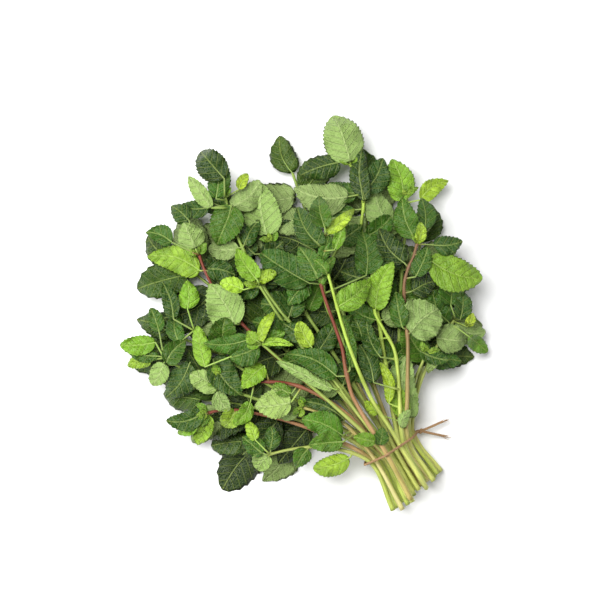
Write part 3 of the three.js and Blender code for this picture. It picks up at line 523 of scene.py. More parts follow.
def lay_leaf(start, row, key, loose=False):
    base, tip = np.array(row[0:2], dtype=float), np.array(row[2:4], dtype=float)
    width, face = row[4], row[5]
    blade = math.dist(tip, base)
    forward = (tip - base) / blade
    side = np.array([-forward[1], forward[0]])
    stalk = math.dist(base, start[:2])
    rungs = []
    if not loose:
        out = forward if stalk < ELBOW else (base - start[:2]) / stalk
        rungs = [(*start[:2], STALK_RADIUS, 0), (*(start[:2] + out * ELBOW), STALK_RADIUS, ELBOW)]
    for share, half in BLADE:
        if share > 0 or loose or stalk >= 2 * ELBOW:
            thin = STALK_RADIUS * (1 if share < 1 else 0.4)
            place = base + (tip - base) * share
            rungs.append((*place, max(half * width / 2, thin), stalk + blade * share))
    middle = (base + tip) / 2
    left, right = (float(heap.under(*(middle + side * width * 0.4 * hand), True)) for hand in (1, -1))
    lean = min(0.45, max(-0.45, (left - right) / (0.8 * width)))
    droop, pitch = 0.15 + 0.45 * chance(key + 0.7), 0.05 + 0.25 * chance(key + 0.4)
    leaf = {
        "rungs": rungs, "side": side, "forward": forward, "base": base, "blade": blade, "stalk": stalk,
        "width": width, "face": face, "key": key, "start": start, "loose": loose,
        "tone": row[6] if len(row) > 6 else 0.8,
        "roll": 0.6 * lean + 0.2 * (chance(key + 0.1) - 0.5),
        "fold": (-0.5 if face == 1 else 1) * (0.06 + 0.2 * chance(key + 0.2)),
    }
    heights = [start[2] + pitch * r[3] - droop * r[3] ** 2 / (stalk + blade) for r in rungs]
    first = 0 if loose else 1
    needs = []
    for i in range(len(rungs) - 1):
        x, y, lateral, half, share = rung_points(leaf, i)
        fixed = i == 0 and not loose
        run = rungs[i][3] + (rungs[i + 1][3] - rungs[i][3]) * share
        thick = LEAF_THICKNESS / 2 * (1 - np.abs(lateral) / half)
        flap = (leaf["fold"] * np.abs(lateral) + leaf["roll"] * lateral) * (share if fixed else 1) - thick
        need = heap.under(x, y, run > 5) + CLEARANCE - flap
        if fixed:
            need = need[share > 0.6]
        needs.append(float(np.max(need)) if len(need) else 0)
    for i, need in enumerate(needs):
        if i >= first:
            heights[i] = max(heights[i], need)
        heights[i + 1] = max(heights[i + 1], need)
    straighten(heights, LEAF_SAG, 1)
    for i in range(len(rungs) - 1):
        x, y, lateral, half, share = rung_points(leaf, i)
        thick = LEAF_THICKNESS / 2 * (1 - np.abs(lateral) / half)
        grown = share if i == 0 and not loose else 1
        flap = (leaf["fold"] * np.abs(lateral) + leaf["roll"] * lateral) * grown + thick
        heap.lift(x, y, heights[i] + (heights[i + 1] - heights[i]) * share + flap)
    leaf["heights"] = heights
    return leaf


# %% Pairs of leaves along a stem
def paired_rows(stations, key, spacing, leaf_length, at_tip):
    rows = []
    run, pair = 0, 0
    next_pair = 50 + 8 * chance(key + 0.9)
    for here, there in zip(stations, stations[1:]):
        length = math.hypot(*(there - here)[:2])
        if there[1] > 0 and here[1] > -1:
            heading = math.atan2(*(there - here)[1::-1])
            while next_pair <= run + length:
                point = here + (there - here) * (next_pair - run) / length
                for hand in (-1, 1):
                    seed = key + pair * 0.37 + hand * 0.13
                    angle = heading + hand * (0.75 + 0.5 * chance(seed))
                    size = leaf_length * (0.8 + 0.4 * chance(seed + 5))
                    turned = np.array([math.cos(angle), math.sin(angle)])
                    base = point[:2] + 3 * turned
                    face = 1 if chance(seed + 9) > 0.7 else 0
                    tone = 0.1 + 1.1 * chance(seed + 3)
                    rows.append((*base, *(base + size * turned), size * PAIR_SHAPE, face, tone))
                pair += 1
                next_pair += spacing
            run += length
    if at_tip:
        last, before = stations[-1], stations[-2]
        heading = math.atan2(*(last - before)[1::-1])
        end_leaf = 0.8 * leaf_length
        end = last[:2] + end_leaf * np.array([math.cos(heading), math.sin(heading)])
        rows.append((*last[:2], *end, end_leaf * PAIR_SHAPE, 0, 1.0))
    return rows


# %% [markdown]
# ## Laying the bunch
# The hidden lowest shoots go down first, every other one, so that the rest fall in the gaps. Then
# come the bare stalks, the shoots of the crown from the lowest to the highest, and the leaves
# that have come off.

# %% The whole bunch
shoots = []


def lay_shoot(name, tie, way, rise, key, kind, rows):
    stations = lay_stem(tie, way, rise, key)
    rows = rows(stations) if callable(rows) else rows
    leaves = [lay_leaf(leaf_start(stations, row), row, key + k * 0.61) for k, row in enumerate(rows)]
    heap.settle()
    shoots.append({"name": name, "key": key, "kind": kind, "stations": stations, "leaves": leaves})


for k in [*range(0, len(FAN_ANGLES), 2), *range(1, len(FAN_ANGLES), 2)]:
    tie = (k - (len(FAN_ANGLES) - 1) / 2) * FAN_GAP
    way = []
    for share in (0.4, 0.75, 1):
        bend = math.radians(FAN_ANGLES[k]) * (0.75 + 0.25 * share)
        reach = FAN_LENGTHS[k] * share
        way.append((tie * (1 - share) + reach * math.sin(bend), reach * math.cos(bend)))
    lay_shoot(f"under_sprig_{k + 1}", tie, way, 0, 10 + k, "GREEN",
              lambda stations, key=10 + k: paired_rows(stations, key, PAIR_SPACING, PAIR_LENGTH, True))
for k, (tie, end_x, end_y) in enumerate(BARE_STALKS):
    lay_shoot(f"bare_stalk_{k + 1}", tie, [(end_x, end_y)], 0, 30 + k, "TAN", [])
for k, (name, tie, rise, kind, way, rows) in enumerate(CROWN):
    def all_rows(stations, key=50 + k, listed=rows, few=k >= SIDE_SHOOTS):
        return ([] if few else paired_rows(stations, key, SIDE_SPACING, SIDE_LENGTH, False)) + listed
    lay_shoot(name, tie, way, rise, 50 + k, kind, all_rows)

loose = []
for k, row in enumerate(LOOSE_LEAVES):
    loose.append(lay_leaf(np.array([row[0], row[1], 0.0]), row, 80 + k, loose=True))
    heap.settle()
heap_top = float(heap.laid.max())
leaf_count = sum(len(shoot["leaves"]) for shoot in shoots) + len(loose)
print(len(shoots), "shoots,", leaf_count, "leaves, top at", round(heap_top, 1), "mm")

# %% [markdown]
# ## From the layout to the frame
# The layout counts from the middle of the tie, and the frame counts from under the middle of the
# whole bunch. One bare stalk is enough to find the step between them: its solid's lowest corner
# less the lowest corner of the same stalk in the layout.

# %% The step between the two origins
def low_corner(stations):
    corners = []
    for i, here in enumerate(stations):
        before, after = stations[max(0, i - 1)], stations[min(len(stations) - 1, i + 1)]
        run = (after - before)[:2] / math.hypot(*(after - before)[:2])
        half = np.array([abs(run[1]), abs(run[0]), 1]) * here[3]
        corners.append(here[:3] - half)
    return np.min(corners, axis=0)


first_bare = next(s for s in shoots if s["name"] == "bare_stalk_1")
ORIGIN = np.array(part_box("bare_stalk_1")[0]) * 1000 - low_corner(first_bare["stations"])
print("step in mm", np.round(ORIGIN, 2))

# %% [markdown]
# ## Collecting faces
# All the leaves of a shoot make one mesh, and so do its stem and leaf stalks. A basket gathers the
# points, the faces and what is marked on them, and turns them into a mesh at the end. It also
# lays each leaf flat on its own patch of the texture sheet, so that nothing overlaps when the
# finish is baked.


# %% A basket of faces
PATCH_GAP = 1.0          # mm between two patches on the texture sheet


class Basket:
    def __init__(self):
        self.points, self.faces, self.smooth = [], [], []
        self.marks = {}          # name -> one row for each point
        self.patches = []        # one row for each loose patch: its size and its corners
        self.count = 0

    def add(self, points, skins, **marks):
        """points are n x 3 in mm. Each skin holds its faces as rows of point numbers, the flat place
        in mm of each corner (one list for each face), and one flag for each face."""
        self.points.append(np.asarray(points))
        for faces, patch, flags in skins:
            self.faces += [[self.count + p for p in face] for face in faces]
            self.patches.append((patch, flags))
        for name, rows in marks.items():
            self.marks.setdefault(name, []).append(np.broadcast_to(rows, (len(points), 3)))
        self.count += len(points)

    def packed_corners(self):
        """Places the patches in rows on a square sheet, the tallest first."""
        boxes = []
        for number, (patch, _) in enumerate(self.patches):
            flat = np.array([corner for face in patch for corner in face])
            boxes.append((number, flat.min(0), flat.max(0) - flat.min(0)))
        boxes.sort(key=lambda box: -box[2][1])
        area = sum((size[0] + PATCH_GAP) * (size[1] + PATCH_GAP) for _, _, size in boxes)
        widest = max(size[0] for _, _, size in boxes) + PATCH_GAP
        sheet = max(math.sqrt(area) * 1.08, widest)
        while True:
            spots, x, y, row = {}, 0.0, 0.0, 0.0
            for number, low, size in boxes:
                if x + size[0] + PATCH_GAP > sheet:
                    x, y, row = 0.0, y + row, 0.0
                spots[number] = (x + PATCH_GAP / 2 - low[0], y + PATCH_GAP / 2 - low[1])
                x += size[0] + PATCH_GAP
                row = max(row, size[1] + PATCH_GAP)
            if y + row <= sheet:
                break
            sheet *= 1.04
        corners = []
        for number, (patch, _) in enumerate(self.patches):
            dx, dy = spots[number]
            corners += [((x + dx) / sheet, (y + dy) / sheet) for face in patch for x, y in face]
        return corners

    def piece(self, name, material, slot, *nodes):
        """The mesh as an object that stands for the CAD nodes."""
        mesh = bpy.data.meshes.new(name)
        points = (np.concatenate(self.points) + ORIGIN) / 1000
        mesh.from_pydata(points.tolist(), [], self.faces)
        mesh.polygons.foreach_set("use_smooth", [True] * len(self.faces))
        sheet = mesh.uv_layers.new(name="OFBake")
        sheet.data.foreach_set("uv", np.array(self.packed_corners()).ravel())
        for key, rows in self.marks.items():
            mark = mesh.attributes.new(key, "FLOAT_VECTOR", "POINT")
            mark.data.foreach_set("vector", np.concatenate(rows).ravel())
        flags = mesh.attributes.new("face_flag", "FLOAT", "CORNER")
        values = []
        for patch, flag in self.patches:
            for face, value in zip(patch, flag):
                values += [value] * len(face)
        flags.data.foreach_set("value", values)
        mesh.update()
        made = bpy.data.objects.new(name, mesh)
        bpy.context.scene.collection.objects.link(made)
        made.data.materials.append(material)
        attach(made, "root")
        if nodes:
            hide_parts(*nodes)
        return made


# %% [markdown]
# ## The skin of a leaf
# Seen close, a mint leaf is a net. A pale midrib runs down it, side veins leave it
# in pairs, and a fine net of smaller veins parts the blade into tiny raised cushions. Each
# leaf carries its own measure: how far along and across each point is, and where it lies between two
# side veins. The shader draws the veins from that, so they follow the shape of every leaf.
# The underside has the same net the other way up: pale, dull and with the veins standing out.

# %% Leaf finish
leaf_skin = Finish("mint_leaf_skin")
along, lateral, seed = leaf_skin.parts(leaf_skin.mark("leaf_place").pick("Vector"))
vein, spacing, share = leaf_skin.parts(leaf_skin.mark("leaf_vein").pick("Vector"))
tint = leaf_skin.mark("leaf_tint").pick("Vector")
under = leaf_skin.mark("face_flag").pick("Fac")
spot = leaf_skin.point(along, lateral, seed * 53)

side_veins = 1 - (vein.sum("PINGPONG", vein, 0.5) * spacing).ramp(0.1, 0.55)
midrib = 1 - abs(lateral).ramp(0.25, 0.75)
cushions = leaf_skin.cells(spot, 0.62)
fine_cells = leaf_skin.cells(spot, 1.5)
net = 1 - cushions.ramp(0.02, 0.2)
fine_net = 1 - fine_cells.ramp(0.02, 0.25)
blotch = leaf_skin.noise(spot, 0.11, 3)
speckle = leaf_skin.noise(spot, 0.9, 3, 0.7)

veins = midrib.sum("MAXIMUM", midrib, side_veins * 0.9)
veins = veins.sum("MAXIMUM", veins, net * 0.25)
shadowed = leaf_skin.mix(1.0, tint, (0.50, 0.56, 0.30), "MULTIPLY")
lit = leaf_skin.mix(1.0, tint, (1.50, 1.34, 1.05), "MULTIPLY")
blade = leaf_skin.mix((blotch * 1.7 + speckle * 0.2 - 0.45).clamped(), shadowed, lit)
vein_top = leaf_skin.mix(0.5, tint, (0.44, 0.55, 0.13))
top_colour = leaf_skin.mix(veins * 0.62, blade, vein_top)
pale_blade = leaf_skin.mix(0.5, tint, (0.22, 0.32, 0.07))
pale_blade = leaf_skin.mix((speckle * 0.3 + blotch * 0.4 - 0.1).clamped(), pale_blade, (0.27, 0.38, 0.13))
pale_veins = (veins + fine_net * 0.35).clamped()
under_colour = leaf_skin.mix(pale_veins * 0.6, pale_blade, (0.42, 0.53, 0.20))
leaf_colour = leaf_skin.mix(under, top_colour, under_colour)

swell = cushions.ramp(0.0, 0.45) * 0.4 + fine_cells.ramp(0, 0.5) * 0.04
swell = swell - side_veins * 0.7 - midrib * 0.6
leaf_relief = swell * (1 - under * 2) + speckle * 0.04
leaf_gloss = 0.34 + blotch * 0.12 + net * 0.10 + under * 0.22
leaf_material = leaf_skin.finish(leaf_colour, leaf_gloss, leaf_relief, 0.0009, 1.0, Specular_IOR_Level=0.34)

# %% [markdown]
# ## The skin of a stem
# Mint stems are square, with a fine lengthwise grain and short pale hairs. They blush from
# yellow-green to red or brown where the sun reached them. The cut end shows a pale,
# spongy core inside a thin green rim.

# %% Stem finish
stem_skin = Finish("mint_stem_skin")
run, turn, stem_seed = stem_skin.parts(stem_skin.mark("stem_place").pick("Vector"))
stem_tint = stem_skin.mark("stem_tint").pick("Vector")
core = stem_skin.mark("face_flag").pick("Fac")
grain_spot = stem_skin.point(run * 0.05, turn * 6, stem_seed * 31)
hair_spot = stem_skin.point(run * 0.8, turn * 9, stem_seed * 17)
grain = stem_skin.noise(grain_spot, 2.2, 4, 0.6)
hairs = stem_skin.noise(hair_spot, 1.6, 3, 0.7)
dark_side = stem_skin.mix(1.0, stem_tint, (0.55, 0.55, 0.50), "MULTIPLY")
light_side = stem_skin.mix(1.0, stem_tint, (1.30, 1.30, 1.25), "MULTIPLY")
bark = stem_skin.mix((grain * 1.5 + hairs * 0.5 - 0.5).clamped(), dark_side, light_side)
pith = stem_skin.mix(hairs, (0.50, 0.55, 0.28), (0.74, 0.76, 0.52))
stem_colour = stem_skin.mix(core, bark, pith)
stem_material = stem_skin.finish(stem_colour, 0.42 + hairs * 0.25 + core * 0.3, grain * 0.7 + hairs * 0.4,
                                 0.0003, 0.8, Specular_IOR_Level=0.4)

# %% [markdown]
# ## The shape of a blade
# A blade could be a flat card with a picture of a leaf, but cards look thin from the side and cast
# hard straight shadows. Here each one is a closed lens, under half a millimetre thick beside its
# midrib, on a fine grid: its outline has forward-pointing teeth, the sides wave and curl, and the skin
# puffs up between the side veins as it does on a real mint leaf.
# Rows of the grid are placed on the notches and points of the teeth, so that a few rows are
# enough to draw each tooth sharply.

# %% Tones of the leaves
TONES = [
    (0.0, paint(20, 52, 8)), (0.5, paint(34, 74, 12)), (1.0, paint(58, 102, 20)), (1.5, paint(84, 130, 30)),
    (2.0, paint(110, 154, 44)), (2.5, paint(130, 168, 52)), (3.0, paint(150, 184, 54)),
]


def tone_colour(tone, seed_number):
    tone = min(3, max(0, tone + 0.9 * (chance(seed_number + 0.11) - 0.5)))
    steps = [t for t, _ in TONES]
    colour = [float(np.interp(tone, steps, [c[k] for _, c in TONES])) for k in range(3)]
    warm = 1 + 0.24 * (chance(seed_number + 0.53) - 0.5)
    cool = 1 + 0.5 * (chance(seed_number + 0.77) - 0.5)
    return np.array([colour[0] * warm, colour[1], colour[2] * cool])


# %% Smooth heights along a leaf
def slopes(runs, heights):
    """A slope at each rung that never overshoots its neighbours."""
    steps = np.diff(heights) / np.diff(runs)
    inner = [0 if a * b <= 0 else 2 * a * b / (a + b) for a, b in zip(steps, steps[1:])]
    return np.array([steps[0], *inner, steps[-1]])


def smooth_height(leaf, at):
    runs = np.array([r[3] for r in leaf["rungs"]], dtype=float)
    heights = np.array(leaf["heights"], dtype=float)
    lean = slopes(runs, heights)
    i = np.clip(np.searchsorted(runs, at, side="right") - 1, 0, len(runs) - 2)
    gap = runs[i + 1] - runs[i]
    s = np.clip((at - runs[i]) / gap, 0, 1)
    return (heights[i] * (1 + 2 * s) * (1 - s) ** 2 + lean[i] * gap * s * (1 - s) ** 2
            + heights[i + 1] * s ** 2 * (3 - 2 * s) + lean[i + 1] * gap * s ** 2 * (s - 1))


# %% The flat blade
ACROSS = np.array([-1, -0.92, -0.78, -0.6, -0.4, -0.2, -0.06, 0, 0.06, 0.2, 0.4, 0.6, 0.78, 0.92, 1])
ACROSS_PLAIN = np.array([-1, -0.8, -0.5, -0.2, 0, 0.2, 0.5, 0.8, 1])
TOOTH_GAP, PLAIN_TOOTH_GAP = 2.7, 4.5      # mm along the edge of a leaf that shows, or is hidden
FOOT = 0.48                                # how bluntly a blade begins: smaller is blunter
LOPSIDED = 0.26
SWAY = 0.24


def blade_key(leaf):
    """The number that every chance in one blade starts from."""
    return leaf["key"] * 3.1 + 0.7


def sway(leaf, share):
    """How far the midrib bends sideways, in mm."""
    return (chance(blade_key(leaf) + 7) - 0.5) * SWAY * leaf["blade"] * np.sin(np.pi * share)


def blade_outline(share, tip):
    """Half width along a blade, 1 where it is widest."""
    shape = np.maximum(share, 1e-6) ** FOOT * np.maximum(1 - share, 1e-6) ** tip
    peak = FOOT / (FOOT + tip)
    return shape / (peak ** FOOT * (1 - peak) ** tip)


def blade_grid(leaf, fine):
    """Shares along and across the blade, the same in mm, and the half width of each row."""
    key, length, width = blade_key(leaf), leaf["blade"], leaf["width"]
    if fine:
        teeth = max(5, min(13, round(length / TOOTH_GAP)))
        across, phases, reaches = ACROSS, (0, 0.4, 0.75, 0.88), (0, 0.55, 1, 0.35)
    else:
        teeth = max(4, min(7, round(length / PLAIN_TOOTH_GAP)))
        across, phases, reaches = ACROSS_PLAIN, (0, 0.7), (0, 1)
    share = np.array([(k + phase) / teeth for k in range(teeth) for phase in phases] + [1.0])
    share = 0.012 + share * 0.985
    small_ends = np.clip(share * 6 - 0.4, 0, 1) * np.clip((1 - share) * 9, 0.3, 1)
    tooth = np.array(list(reaches) * teeth + [0.0]) * (0.034 * width + 0.12) * small_ends
    tip = 0.56 + 0.36 * chance(key + 1)
    half = np.maximum(width / 2 * blade_outline(share, tip), 0.25) - 0.4 * tooth.max()
    u, v = np.meshgrid(share, across, indexing="ij")
    wide, point = np.maximum(half, 0.2)[:, None], tooth[:, None]
    uneven = 1 + np.sign(v) * LOPSIDED * (chance(key + 9) - 0.5)
    edge = np.abs(v) ** 6
    lateral = wide * v * uneven + np.sign(v) * point * edge
    along = u * length + 0.5 * point * edge
    return u, v, lateral, along, wide


# %% What bends a blade out of its plane
VEIN_GAP = 5.2
CURL, WAVE, CRUMPLE = 0.85, 0.11, 0.030


def vein_pairs(leaf):
    return max(4, min(7, round(leaf["blade"] / VEIN_GAP)))


def quilting(leaf, u, v, lateral, wide):
    """Which side vein each point is at, and how high the skin puffs up between the veins."""
    up = -1 if leaf["face"] == 1 else 1
    swept_back = 0.75 * wide * np.abs(v) ** 1.15 / leaf["blade"]
    phase = (u - swept_back) * vein_pairs(leaf) + 0.5 + 0.25 * np.sign(v)
    puff = np.abs(np.sin(np.pi * phase)) ** 0.8
    inside = np.clip(np.abs(v) * 3.2, 0, 1) * (1 - 0.75 * np.abs(v) ** 3)
    cushion = (0.055 * leaf["width"] + 0.3) * (puff - 0.45) * inside
    groove = (0.45 + 0.03 * leaf["width"]) * np.exp(-(lateral / 0.9) ** 2) * (1 - 0.6 * u)
    return phase, up * (cushion - groove)


def bends(leaf, u, v, lateral, wide):
    """Fold, curl, waves of the edge, a drooping tip and a few random crumples, in mm."""
    key, length = blade_key(leaf), leaf["blade"]
    fold = leaf["fold"] * (np.sqrt(lateral ** 2 + 0.6) - 0.77) + leaf["roll"] * lateral
    curl = CURL * (chance(key + 2) - 0.6) * lateral ** 2 / np.maximum(wide, 1.5)
    wave = np.zeros_like(u)
    for hand, first in ((-1, 3), (1, 4)):
        beats, start = 1.3 + 1.6 * chance(key + first), chance(key + first + 0.5)
        wave += np.where(np.sign(v) == hand, np.sin(2 * np.pi * (beats * u + start)), 0)
    wave *= WAVE * leaf["width"] * np.abs(v) ** 2.4 * np.sin(np.pi * np.clip(u, 0, 1)) ** 0.5
    hook = -(0.55 * chance(key + 6) - 0.12) * length * np.clip(u - 0.72, 0, 1) ** 2 * 2
    crumple = np.zeros_like(u)
    for ripple in (1, 2, 3):
        along_beats = ripple * (0.7 + 0.5 * chance(key + 20 + ripple))
        across_beats = 1.4 * (chance(key + 10 + ripple) - 0.5) * ripple
        beat = along_beats * u + across_beats * v + chance(key + 30 + ripple)
        crumple += np.sin(2 * np.pi * beat) / (1 + 0.6 * ripple)
    crumple *= (0.2 + CRUMPLE * length) * np.clip(u * 4, 0, 1) * np.clip(np.abs(v) * 2.5, 0.15, 1)
    return fold + curl + wave + hook + crumple


# %% One closed blade
SKIN, MIDRIB = 0.38, 0.45       # thickness in mm, and what the midrib adds to it
FLOOR_GAP = 0.15
HIDDEN_PAINTED_SHADE = 0.45                   # painted shade: hidden leaves low in the heap are made this much darker


def quads(grid, turned):
    """Four-sided faces between the rows of a grid of point numbers."""
    a, b, c, d = grid[:-1, :-1], grid[1:, :-1], grid[1:, 1:], grid[:-1, 1:]
    order = (a, d, c, b) if turned else (a, b, c, d)
    return np.stack([corner.ravel() for corner in order], axis=1).tolist()


def add_blade(basket, leaf, fine=True):
    key = blade_key(leaf)
    u, v, lateral, along, wide = blade_grid(leaf, fine)
    phase, relief = quilting(leaf, u, v, lateral, wide)
    aside = lateral + sway(leaf, u)
    x, y = (leaf["base"][i] + leaf["forward"][i] * along + leaf["side"][i] * aside for i in (0, 1))
    z = smooth_height(leaf, leaf["stalk"] + along) + bends(leaf, u, v, lateral, wide) + relief
    thick = SKIN + MIDRIB * np.exp(-(lateral / 0.8) ** 2) * (1 - 0.7 * u)
    z = np.maximum(z, thick + FLOOR_GAP - ORIGIN[2])

    inner = np.zeros(u.shape, dtype=bool)
    inner[1:-1, 1:-1] = True
    upper = np.arange(u.size).reshape(u.shape)
    lower = upper.copy()
    lower[inner] = u.size + np.arange(inner.sum())

    def both(top, bottom):
        """Values for all of the upper skin, then for the lower skin inside the rim they share."""
        return np.concatenate([top.ravel(), bottom[inner]])

    points = np.stack([both(x, x), both(y, y), both(z, z - thick)], axis=1)
    flat = np.stack([both(lateral, lateral), both(along, along)], axis=1)
    back_up = float(leaf["face"] == 1)
    skins = []
    for faces, flag in ((quads(upper, True), back_up), (quads(lower, False), 1 - back_up)):
        skins.append((faces, [[tuple(flat[p]) for p in face] for face in faces], [flag] * len(faces)))
    seed_column = np.full(len(points), chance(key + 8))
    gap_column = np.full(len(points), leaf["blade"] / vein_pairs(leaf))
    # Leaves of the hidden shoots get painted shade: their tint is made darker.
    basket.add(points, skins,
               leaf_place=np.stack([flat[:, 1], flat[:, 0], seed_column], axis=1),
               leaf_vein=np.stack([both(phase, phase), gap_column, both(u, u)], axis=1),
               leaf_tint=tone_colour(leaf["tone"], key) * (1 if fine else HIDDEN_PAINTED_SHADE))


# %% [markdown]
# ## Tubes that taper
# Stems, leaf stalks and twine are all tubes along a bending line. The section is a rounded
# square for a stem, with a corner upwards as the plain solid has it, and round for the rest.
# Both ends are closed.

# %% Tubes
def tube_rings(centres, radii, sides=10, roundness=1.0):
    """Rings of points round a line, each in the plane across it. Roundness 1 gives a circle, and a
    smaller one a square with soft sides and a corner upwards."""
    centres = np.asarray(centres, dtype=float)
    ahead = np.gradient(centres, axis=0)
    ahead /= np.linalg.norm(ahead, axis=1)[:, None]
    level = np.stack([-ahead[:, 1], ahead[:, 0], np.zeros(len(ahead))], axis=1)
    level /= np.maximum(np.linalg.norm(level, axis=1), 1e-6)[:, None]
    rise = np.cross(ahead, level)
    angle = 2 * np.pi * np.arange(sides) / sides
    power = 1 + roundness
    shape = (np.abs(np.cos(angle)) ** power + np.abs(np.sin(angle)) ** power) ** (-1 / power)
    rings = []
    for centre, r, a, b in zip(centres, radii, level, rise):
        section = np.cos(angle)[:, None] * a + np.sin(angle)[:, None] * b
        rings.append(centre + r * shape[:, None] * section)
    return np.array(rings)


def add_tube(basket, rings, tint, seed_value, cored=False, name="stem"):
    """Closed tube from its rings, with one tint for each ring. A cored one has a cut first end."""
    count, sides = rings.shape[:2]
    middles = rings.mean(1)
    runs = np.concatenate([[0], np.cumsum(np.linalg.norm(np.diff(middles, axis=0), axis=1))])
    girth = float(np.linalg.norm(rings[0, 0] - rings[0, 1])) * sides
    faces, patch, flags = [], [], []
    for i in range(count - 1):
        for k in range(sides):
            n = (k + 1) % sides
            faces.append([i * sides + k, i * sides + n, (i + 1) * sides + n, (i + 1) * sides + k])
            left, right = girth * k / sides, girth * (k + 1) / sides
            patch.append([(left, runs[i]), (right, runs[i]), (right, runs[i + 1]), (left, runs[i + 1])])
            flags.append(0.0)
    hearts = []
    reach = girth / 6.3
    for end, beside, patch_x in ((0, 1, 1.5 * reach), (count - 1, count - 2, 5.4 * reach)):
        cut = cored and end == 0
        outward = middles[end] - middles[beside]
        outward /= np.linalg.norm(outward)
        dip = (-0.35 if cut else 0.15) * np.linalg.norm(rings[end, 0] - middles[end])
        hearts.append(middles[end] + outward * dip)
        heart, heart_spot = count * sides + len(hearts) - 1, (patch_x, -1.5 * reach - 0.3)
        spots = [(heart_spot[0] + reach * math.cos(2 * math.pi * k / sides),
                  heart_spot[1] + reach * math.sin(2 * math.pi * k / sides)) for k in range(sides)]
        for k in range(sides):
            n = (k + 1) % sides
            first, second = (n, k) if end == 0 else (k, n)
            faces.append([end * sides + first, end * sides + second, heart])
            patch.append([spots[first], spots[second], heart_spot])
            flags.append(float(cut))
    points = np.concatenate([rings.reshape(-1, 3), np.array(hearts)])
    place = np.stack([np.repeat(runs, sides), np.tile(np.arange(sides) / sides, count),
                      np.full(count * sides, seed_value)], axis=1)
    place = np.concatenate([place, [[0, 0.5, seed_value], [runs[-1], 0.5, seed_value]]])
    tints = np.repeat(np.asarray(tint), sides, axis=0)
    tints = np.concatenate([tints, [tints[0], tints[-1]]])
    basket.add(points, [(faces, patch, flags)], **{name + "_place": place, name + "_tint": tints})


# %% Colours along a stem
KINDS = {             # upper colour, lower colour
    "GREEN": (paint(134, 158, 70), paint(174, 182, 98)),
    "LIME": (paint(170, 198, 78), paint(188, 200, 104)),
    "RED": (paint(124, 60, 44), paint(186, 152, 104)),
    "BROWN": (paint(126, 94, 66), paint(170, 152, 92)),
    "TAN": (paint(192, 186, 110), paint(182, 164, 102)),
}
BELOW_TIE = [paint(202, 208, 112), paint(178, 162, 92), paint(170, 184, 84), paint(206, 198, 134)]


def stem_tints(shoot, places):
    upper, lower = (np.array(c) for c in KINDS[shoot["kind"]])
    cut = np.array(BELOW_TIE[int(chance(shoot["key"] + 0.9) * 3.99)])
    rows = []
    for y in places:
        blush = min(1, max(0, (y - 10) / 70))
        colour = lower + (upper - lower) * blush
        fade = min(1, max(0, (y + 12) / 22))
        rows.append(cut + (colour - cut) * fade)
    return np.array(rows)


# %% Stems and their leaf stalks
def add_stem(basket, shoot):
    stations = np.array(shoot["stations"])
    centres, radii = [], []
    nodes = [leaf["start"] for leaf in shoot["leaves"]]
    for i in range(len(stations) - 1):
        steps = max(2, round(math.hypot(*(stations[i + 1] - stations[i])[:2]) / 2.5))
        for step in range(steps + (i == len(stations) - 2)):
            point = between(stations, i + step / steps)
            swell = sum(math.exp(-(math.hypot(*(point[:2] - n[:2])) / 1.8) ** 2) for n in nodes)
            centres.append(point[:3])
            radii.append(point[3] * (1 + 0.28 * min(1, swell)))
    rings = tube_rings(centres, radii, sides=12, roundness=0.35)
    tints = stem_tints(shoot, [c[1] for c in centres])
    add_tube(basket, rings, tints, chance(shoot["key"] + 0.4), cored=True)
    for leaf in shoot["leaves"]:
        add_stalk(basket, leaf, stem_tints(shoot, [leaf["start"][1]])[0])


def stalk_line(leaf, runs):
    """Centre of the stalk and of the midrib that carries on from it."""
    rung_runs = [r[3] for r in leaf["rungs"]]
    x = np.interp(runs, rung_runs, [r[0] for r in leaf["rungs"]])
    y = np.interp(runs, rung_runs, [r[1] for r in leaf["rungs"]])
    return np.stack([x, y, smooth_height(leaf, runs)], axis=1)


def add_stalk(basket, leaf, stem_colour):
    stalk, blade = leaf["stalk"], leaf["blade"]
    first = 0 if not leaf["loose"] else stalk - 0.1
    runs = np.unique(np.concatenate([np.linspace(first, stalk, max(3, round(stalk / 1.5) + 2)),
                                     stalk + blade * np.linspace(0.04, 0.5, 7)]))
    centres = stalk_line(leaf, np.maximum(runs, 0))
    share = np.clip((runs - stalk) / blade, 0, 1)
    centres[:, :2] += sway(leaf, share)[:, None] * leaf["side"]
    centres[:, 2] -= 0.45 * np.clip(share * 20, 0, 1)
    radii = np.where(runs <= stalk, 0.78 - 0.22 * runs / max(stalk, 1), 0.5 * (1 - 1.6 * share))
    radii = np.maximum(radii * min(1, 0.45 + blade / 45), 0.08)
    pale = tone_colour(leaf["tone"], blade_key(leaf)) * 0.5 + np.array(paint(178, 200, 110)) * 0.5
    fade = np.clip(runs / max(3, 0.5 * stalk), 0, 1)[:, None]
    add_tube(basket, tube_rings(centres, radii, sides=7), stem_colour + (pale - stem_colour) * fade,
             chance(leaf["key"]))


# %% [markdown]
# ## New growth at the tips
# Most of the shoots that show end in a bud: a rosette of tiny folded leaves, brighter than the rest. They
# are laid one by one, in crossing pairs that get smaller and stand up more towards the middle.

# %% Buds
BUD_PAIRS = 3


